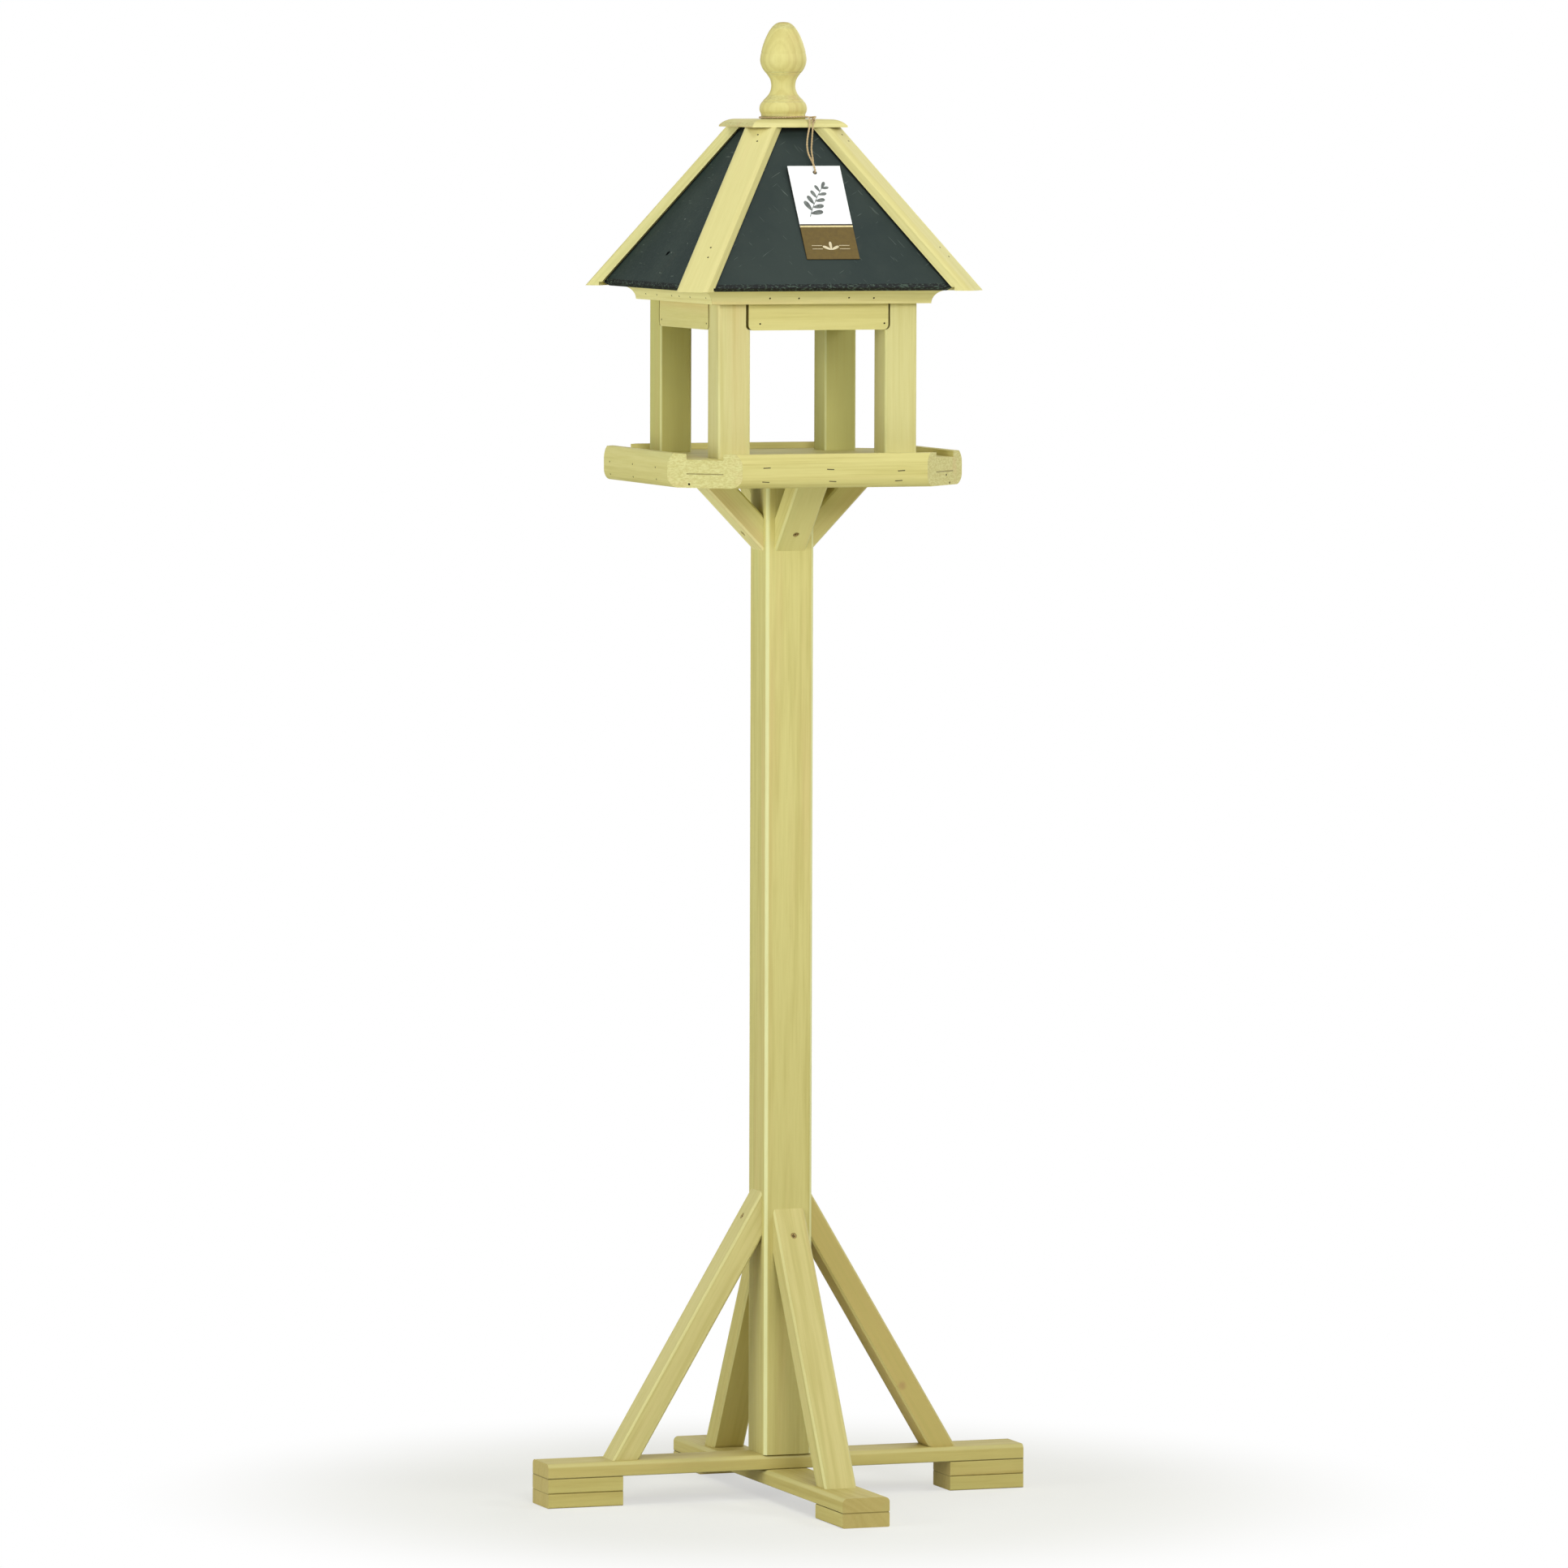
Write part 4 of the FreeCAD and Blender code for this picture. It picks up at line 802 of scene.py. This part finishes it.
def add_lathe(mesh, profile, place, outward, segments, shape=plain_shape, dark=None):
    """A closed solid turned from radii and heights in millimetres, from the top's middle to the foot's.

    shape may move each corner, and dark says which faces take the second material."""
    basis = outward.to_track_quat("Z", "Y").to_matrix()
    rings = []
    for radius, height in profile:
        ring = []
        for k in range(segments if radius else 1):
            angle = 2 * math.pi * k / segments
            shaped, level = shape(radius, angle, height)
            spot = Vector((shaped * math.cos(angle), shaped * math.sin(angle), level)) * MM
            ring.append(mesh.verts.new(place + basis @ spot))
        rings.append(ring)
    for i, (upper, lower) in enumerate(zip(rings, rings[1:])):
        for k in range(segments):
            n = (k + 1) % segments
            corners = [upper[k % len(upper)], lower[k % len(lower)],
                       lower[n % len(lower)], upper[n % len(upper)]]
            face = mesh.faces.new(list(dict.fromkeys(corners)))
            face.smooth = True
            face.material_index = 1 if dark and dark(i, k) else 0


def add_nail(mesh, name, place, way, width=1.0):
    """A nail where a line from place along way meets a CAD node, if it does."""
    spot, normal = surface_of(name).ray_cast(place, way)[:2]
    if spot is not None:
        profile = [(radius * width, height) for radius, height in NAIL_PROFILE]
        add_lathe(mesh, profile, spot, normal, NAIL_SIDES)


def add_nails():
    """Small dark nail heads in the tray boards, cornice, header rails, battens and deck corners."""
    mesh = bmesh.new()
    for side, way in OUTWARD.items():
        across = UP.cross(way)
        for kind, (levels, shifts) in NAIL_ROWS.items():
            for level in levels:
                for shift in shifts.get(side, ()):
                    stray = random.uniform(-ROW_STRAY, ROW_STRAY)
                    start = (across * (shift + stray) + UP * (level + 0.5 * stray)) * MM
                    add_nail(mesh, f"{kind}_{side}", way * OUTSIDE + start, -way)
    for corner, way in CORNERS.items():
        across = UP.cross(way)
        for out, shift in BATTEN_NAILS:
            # the front left ones show in the photo, so they keep their places
            stray = 0.0 if corner == "front_left" else random.uniform(-BATTEN_STRAY, BATTEN_STRAY)
            start = (way * (out + stray) + across * (shift - stray)) * MM
            add_nail(mesh, f"hip_batten_{corner}", start + UP * ABOVE, -UP)
        for level, shift in CORNER_NAILS[corner]:
            start = way * OUTSIDE + (across * shift + UP * level) * MM
            add_nail(mesh, "tray_sub_base", start, -way, LARGE_NAIL)
    mesh_piece("board_nails", mesh, [NAIL])


def add_staples():
    """Two rows of three staples through the front tray board, their crowns nearly flush."""
    mesh = bmesh.new()
    front = surface_of("tray_side_front")
    for across, level, slant in STAPLES:
        spot, normal = front.ray_cast(Vector((across * MM, -OUTSIDE, level * MM)), Vector(Y_AXIS))[:2]
        basis = normal.to_track_quat("Z", "Y").to_matrix()
        turn = (basis @ Matrix.Rotation(math.radians(slant), 3, "Z")).to_4x4()
        for shift, sunk, size in STAPLE_BARS:
            bar = Matrix.Translation(spot) @ turn @ Matrix.Translation((shift * MM, 0, -sunk * MM))
            bar = bar @ Matrix.Diagonal((*(extent * MM for extent in size), 1))
            made = bmesh.ops.create_cube(mesh, size=1, matrix=bar)["verts"]
            edges = list({edge for vertex in made for edge in vertex.link_edges})
            bmesh.ops.bevel(mesh, geom=edges, offset=STAPLE_EASE * MM, segments=2, affect="EDGES",
                            profile=0.5)
    mesh_piece("tray_staples", mesh, [STAPLE])


# ------------------------ screws

# in millimetres
HEAD_RADIUS, HEAD_DEEP, SHANK_RADIUS = 3.1, 2.0, 1.8
SCREW_SIDES = 16
# the radii of the rings on the head's face, and how many of them the recess reaches
HEAD_RINGS = (0.35, 0.7, 1.0, 1.3, 1.6, 2.1, 2.8)
RECESS_RINGS = 5
# the cross recess: half an arm's width, its reach, its depth, and how far its walls slope
ARM_HALF, ARM_REACH, RECESS_DEEP = 0.62, 1.7, 1.1
ARM_SLOPE, END_SLOPE = 0.25, 0.3
# the thread: where it starts below the head, its pitch, its root's share of the radius, and its steps
THREAD_TOP, THREAD_PITCH, THREAD_ROOT, THREAD_STEP = 12, 2.4, 0.74, 0.6
# the step at which the shank's rings start, and how far from the point they end
SHANK_START, SHANK_END = 5, 4
POINT_LENGTH = 1.6
# corners whose distances differ by less than this, in metres, lie on one ring
ALIKE = 0.1 * MM


def screw_shape(radius, angle, height):
    """Sinks a cross into the head's face and winds a thread about the shank."""
    if height == 0:
        x, y = abs(radius * math.cos(angle)), abs(radius * math.sin(angle))
        arm = min(max((ARM_HALF - min(x, y)) / ARM_SLOPE, 0), 1)
        reach = min(max((ARM_REACH - max(x, y)) / END_SLOPE, 0), 1)
        return radius, -RECESS_DEEP * arm * reach
    if height < -THREAD_TOP:
        turn = (height / THREAD_PITCH - angle / (2 * math.pi)) % 1
        return radius * (THREAD_ROOT + (1 - THREAD_ROOT) * abs(2 * turn - 1)), height
    return radius, height


def in_recess(ring, k):
    """Whether a face of a screw's head lies in its cross recess."""
    return ring < RECESS_RINGS and k % 4 in (0, 3)


def screw_profile(length):
    """A screw's radii and heights, from the middle of its head's face to its point."""
    steps = range(SHANK_START, int((length - SHANK_END) / THREAD_STEP))
    profile = [(0, 0)] + [(radius, 0) for radius in HEAD_RINGS]
    profile += [(HEAD_RADIUS, -0.06), (SHANK_RADIUS, -HEAD_DEEP)]
    profile += [(SHANK_RADIUS, -THREAD_STEP * step) for step in steps]
    return profile + [(0.6 * SHANK_RADIUS, POINT_LENGTH - length), (0, -length)]


def islands(node):
    """The corners of each separate solid in a CAD node."""
    source = bmesh.new()
    source.from_mesh(nodes[node].data)
    bmesh.ops.remove_doubles(source, verts=source.verts, dist=1e-6)
    left = set(source.verts)
    found = []
    while left:
        start = min(left, key=lambda vertex: tuple(vertex.co))
        # a dict keeps the order in which vertices are met, so that each run gives the same result
        island, waiting = {start: True}, [start]
        while waiting:
            for edge in waiting.pop().link_edges:
                for vertex in edge.verts:
                    if vertex not in island:
                        island[vertex] = True
                        waiting.append(vertex)
        left -= set(island)
        found.append([vertex.co.copy() for vertex in island])
    source.free()
    return found


def add_screw_set(node, name):
    """Countersunk screws with cross recesses and threads, where the CAD node has its plain ones."""
    mesh = bmesh.new()
    for spots in islands(node):
        middle = sum(spots, Vector()) / len(spots)
        away = [(spot - middle).length for spot in spots]
        one = max(spots, key=lambda spot: (spot - middle).length)
        other = max(spots, key=lambda spot: (spot - one).length)

        def alike(end):
            return sum(abs((end - middle).length - far) < ALIKE for far in away)

        # one of the two is the point, which is alone at its distance, and the other is on the head's rim
        tip = min((one, other), key=alike)
        outward = (middle - tip).normalized()
        length = max((spot - tip).dot(outward) for spot in spots)
        add_lathe(mesh, screw_profile(length / MM), tip + outward * length, outward, SCREW_SIDES,
                  screw_shape, in_recess)
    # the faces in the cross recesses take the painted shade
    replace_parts(mesh_piece(name, mesh, [PLATED, RECESS_SHADE]), node)


# ------------------------ the left slate's hole, a disc of painted shade

# a place in front of the hole, in metres, and its rim's radii and heights in millimetres
HOLE_START = (-OUTSIDE, -0.008, 1.2671)
HOLE_RIM = ((0, 0.03), (1.5, 0.05), (2.4, 0.10), (2.9, 0.02), (2.9, -0.8), (0, -1))
RIM_SIDES = 20


def chipped(radius, angle, height):
    return radius * (1 + 0.25 * math.sin(2 * angle + 0.6) + 0.12 * math.sin(5 * angle)), height


def add_slate_hole():
    """A dark disc with a chipped rim on the left slate, painted shade for an old nail hole."""
    mesh = bmesh.new()
    spot, normal = surface_of("roof_slate_left").ray_cast(Vector(HOLE_START), Vector(X_AXIS))[:2]
    add_lathe(mesh, HOLE_RIM, spot, normal, RIM_SIDES, chipped)
    mesh_piece("slate_nail_hole_shade", mesh, [HOLE_SHADE])


# ------------------------ finial

# radius and height in millimetres, up the finial from its plinth
FINIAL_LINE = ((21.9, 0), (21.9, 4.7), (22.1, 5.4), (23.5, 9.2), (22.9, 14.2), (19.9, 18.8), (16.1, 22.8),
               (13.3, 27.2), (12.0, 32.7), (12.7, 38.9), (15.1, 43.6), (18.4, 47.7), (21.2, 52.3),
               (22.9, 58.2), (22.5, 64.5), (20.6, 73.3), (17.6, 81.7), (13.8, 89.3), (9.9, 94.3),
               (5.3, 97.3), (0, 98))
LINE_STEPS = 8
FINIAL_SIDES = 64
# the levels of the lathe's tool marks, their depth and their half width
TOOL_MARKS = (18.2, 46.4, 66.5)
MARK_DEEP, MARK_HALF = 0.35, 0.55


def between(values, t):
    """A smooth step t of the way from the second of four values to the third."""
    a, b, c, d = values
    return ((2 * b) + (c - a) * t + (2 * a - 5 * b + 4 * c - d) * t ** 2
            + (3 * b - a - 3 * c + d) * t ** 3) / 2


def add_finial():
    """The acorn finial as the lathe left it: one flowing line from plinth to tip, with tool marks."""
    low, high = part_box("finial")
    rise = (high[2] - low[2]) / MM / FINIAL_LINE[-1][1]
    spread = (high[0] - low[0]) / 2 / MM / max(radius for radius, _ in FINIAL_LINE)
    profile = [(0, 0), FINIAL_LINE[0]]
    line = FINIAL_LINE + FINIAL_LINE[-1:]
    for i in range(len(FINIAL_LINE) - 2):
        for step in range(LINE_STEPS):
            radius, height = [between(values, step / LINE_STEPS) for values in zip(*line[i:i + 4])]
            mark = sum(math.exp(-((height - level) / MARK_HALF) ** 2) for level in TOOL_MARKS)
            profile.append((radius - MARK_DEEP * mark, height))
    profile.append(FINIAL_LINE[-1])
    profile = [(radius * spread, height * rise) for radius, height in profile[::-1]]
    mesh = bmesh.new()
    add_lathe(mesh, profile, Vector((0, 0, low[2])), UP, FINIAL_SIDES)
    looks = wood(Z_AXIS, X_AXIS, LIGHT_WOOD, TAN_WOOD, contrast=0.45)
    turned = mesh_piece("finial_turned", mesh, [looks])
    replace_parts(turned, "finial")


add_finial()
add_nails()
add_staples()
add_slate_hole()
for screw_node in ("brace_screws", "long_screws", "foot_screws_across", "foot_screws_along"):
    add_screw_set(screw_node, f"{screw_node}_threaded")


# ------------------------ camera, light and floor

# the photograph's view: degrees from the front, down and about the line of sight, and metres; the lens
# and its sensor in millimetres, and the shift as a share of the sensor
AZIMUTH, PITCH, ROLL = -19.74, 4.0, 0.16
DISTANCE, EYE_HEIGHT = 11.2133, 1.5116
LENS, SENSOR, SHIFT = 254, 36, 0.0017
# each lamp's name, place, target, size, power and colour
LAMPS = (
    ("key", (-0.4, -4.0, 2.4), (0, 0, 0.9), 1.4, 69, (0.96, 0.98, 1.0)),
    ("right", (1.9, -1.6, 2.0), (0, 0, 1.3), 1.0, 20, (0.97, 0.98, 1.0)),
    ("side", (-4.2, -0.9, 1.1), (0, 0, 0.5), 2.2, 89, (0.93, 0.98, 1.0)),
    ("top", (-0.3, -0.9, 3.6), (0, 0, 1.2), 1.6, 20, (0.95, 0.98, 1.0)),
    ("back", (3.3, 3.1, 1.7), (0, 0, 0.9), 2.4, 56, (0.97, 0.98, 1.0)),
)
WHITE = (1, 1, 1, 1)
SOFT_LIGHT, SOFT_STRENGTH = (1.0, 0.97, 0.70, 1), 0.24
FLOOR_HALF, FLOOR_DROP = 12, 0.3 * MM
FLOOR_COLOUR = (0.82, 0.82, 0.76, 1)
# how far from the post the floor starts to run out into white, where it has, and its least share of white
SHADOW_NEAR, SHADOW_FAR, LEAST_WHITE = 0.30, 0.70, 0.55


def add_camera():
    """A long lens near the height of the finial's tip, looking a little down."""
    data = bpy.data.cameras.new("camera")
    camera = link("camera", data)
    bpy.context.scene.camera = camera
    azimuth, pitch = math.radians(AZIMUTH), math.radians(PITCH)
    ahead = Vector((-math.sin(azimuth), math.cos(azimuth), 0))
    camera.location = UP * EYE_HEIGHT - ahead * DISTANCE
    facing = ahead * math.cos(pitch) - UP * math.sin(pitch)
    turn = facing.to_track_quat("-Z", "Y").to_matrix().to_4x4()
    camera.rotation_euler = (turn @ Matrix.Rotation(math.radians(ROLL), 4, "Z")).to_euler()
    data.sensor_width = SENSOR
    data.lens = LENS
    data.shift_x = SHIFT
    data.clip_end = 60


def add_area(name, place, target, size, power, colour):
    """A soft square lamp that faces the target."""
    data = bpy.data.lights.new(name, "AREA")
    data.size = size
    data.energy = power
    data.color = colour
    lamp = link(name, data)
    lamp.location = place
    lamp.rotation_euler = (Vector(target) - Vector(place)).to_track_quat("-Z", "Y").to_euler()


def add_floor():
    """A plain pale floor that keeps the soft shadow near the foot and runs out into white."""
    mesh = bmesh.new()
    bmesh.ops.create_grid(mesh, x_segments=1, y_segments=1, size=FLOOR_HALF)
    data = bpy.data.meshes.new("floor")
    mesh.to_mesh(data)
    mesh.free()
    floor = link("floor", data)
    floor.location.z = -FLOOR_DROP
    material, g = plain("floor_white")
    seen = g.add("ShaderNodeLightPath").outputs["Is Camera Ray"]
    share = g.ramp(g.length(g.spot()), SHADOW_NEAR, SHADOW_FAR, LEAST_WHITE, 1.0)
    share = g.math("MULTIPLY", share, seen)
    matt = g.add("ShaderNodeBsdfDiffuse", {"Color": FLOOR_COLOUR}).outputs[0]
    white = g.add("ShaderNodeEmission", {"Color": WHITE, "Strength": 1.0}).outputs[0]
    both = g.add("ShaderNodeMixShader", {0: share, 1: matt, 2: white}).outputs[0]
    # from underneath, the floor lets the feet and the tray's underside be seen
    below = g.math("MULTIPLY", g.add("ShaderNodeNewGeometry").outputs["Backfacing"], seen)
    clear = g.add("ShaderNodeBsdfTransparent").outputs[0]
    both = g.add("ShaderNodeMixShader", {0: below, 1: both, 2: clear}).outputs[0]
    g.add("ShaderNodeOutputMaterial", {"Surface": both})
    data.materials.append(material)


def set_world():
    """Even pale light all round, with white seen behind the table and in its gloss."""
    world = bpy.data.worlds.new("studio")
    bpy.context.scene.world = world
    world.use_nodes = True
    world.node_tree.nodes.clear()
    g = Graph(world.node_tree)
    path = g.add("ShaderNodeLightPath").outputs
    seen = g.math("MAXIMUM", path["Is Camera Ray"], path["Is Transmission Ray"])
    seen = g.math("MAXIMUM", seen, path["Is Glossy Ray"])
    soft = g.add("ShaderNodeBackground", {"Color": SOFT_LIGHT, "Strength": SOFT_STRENGTH}).outputs[0]
    white = g.add("ShaderNodeBackground", {"Color": WHITE, "Strength": 1.0}).outputs[0]
    both = g.add("ShaderNodeMixShader", {0: seen, 1: soft, 2: white}).outputs[0]
    g.add("ShaderNodeOutputWorld", {"Surface": both})


add_camera()
for lamp_facts in LAMPS:
    add_area(*lamp_facts)
add_floor()
set_world()
bpy.context.scene.view_settings.view_transform = "Standard"
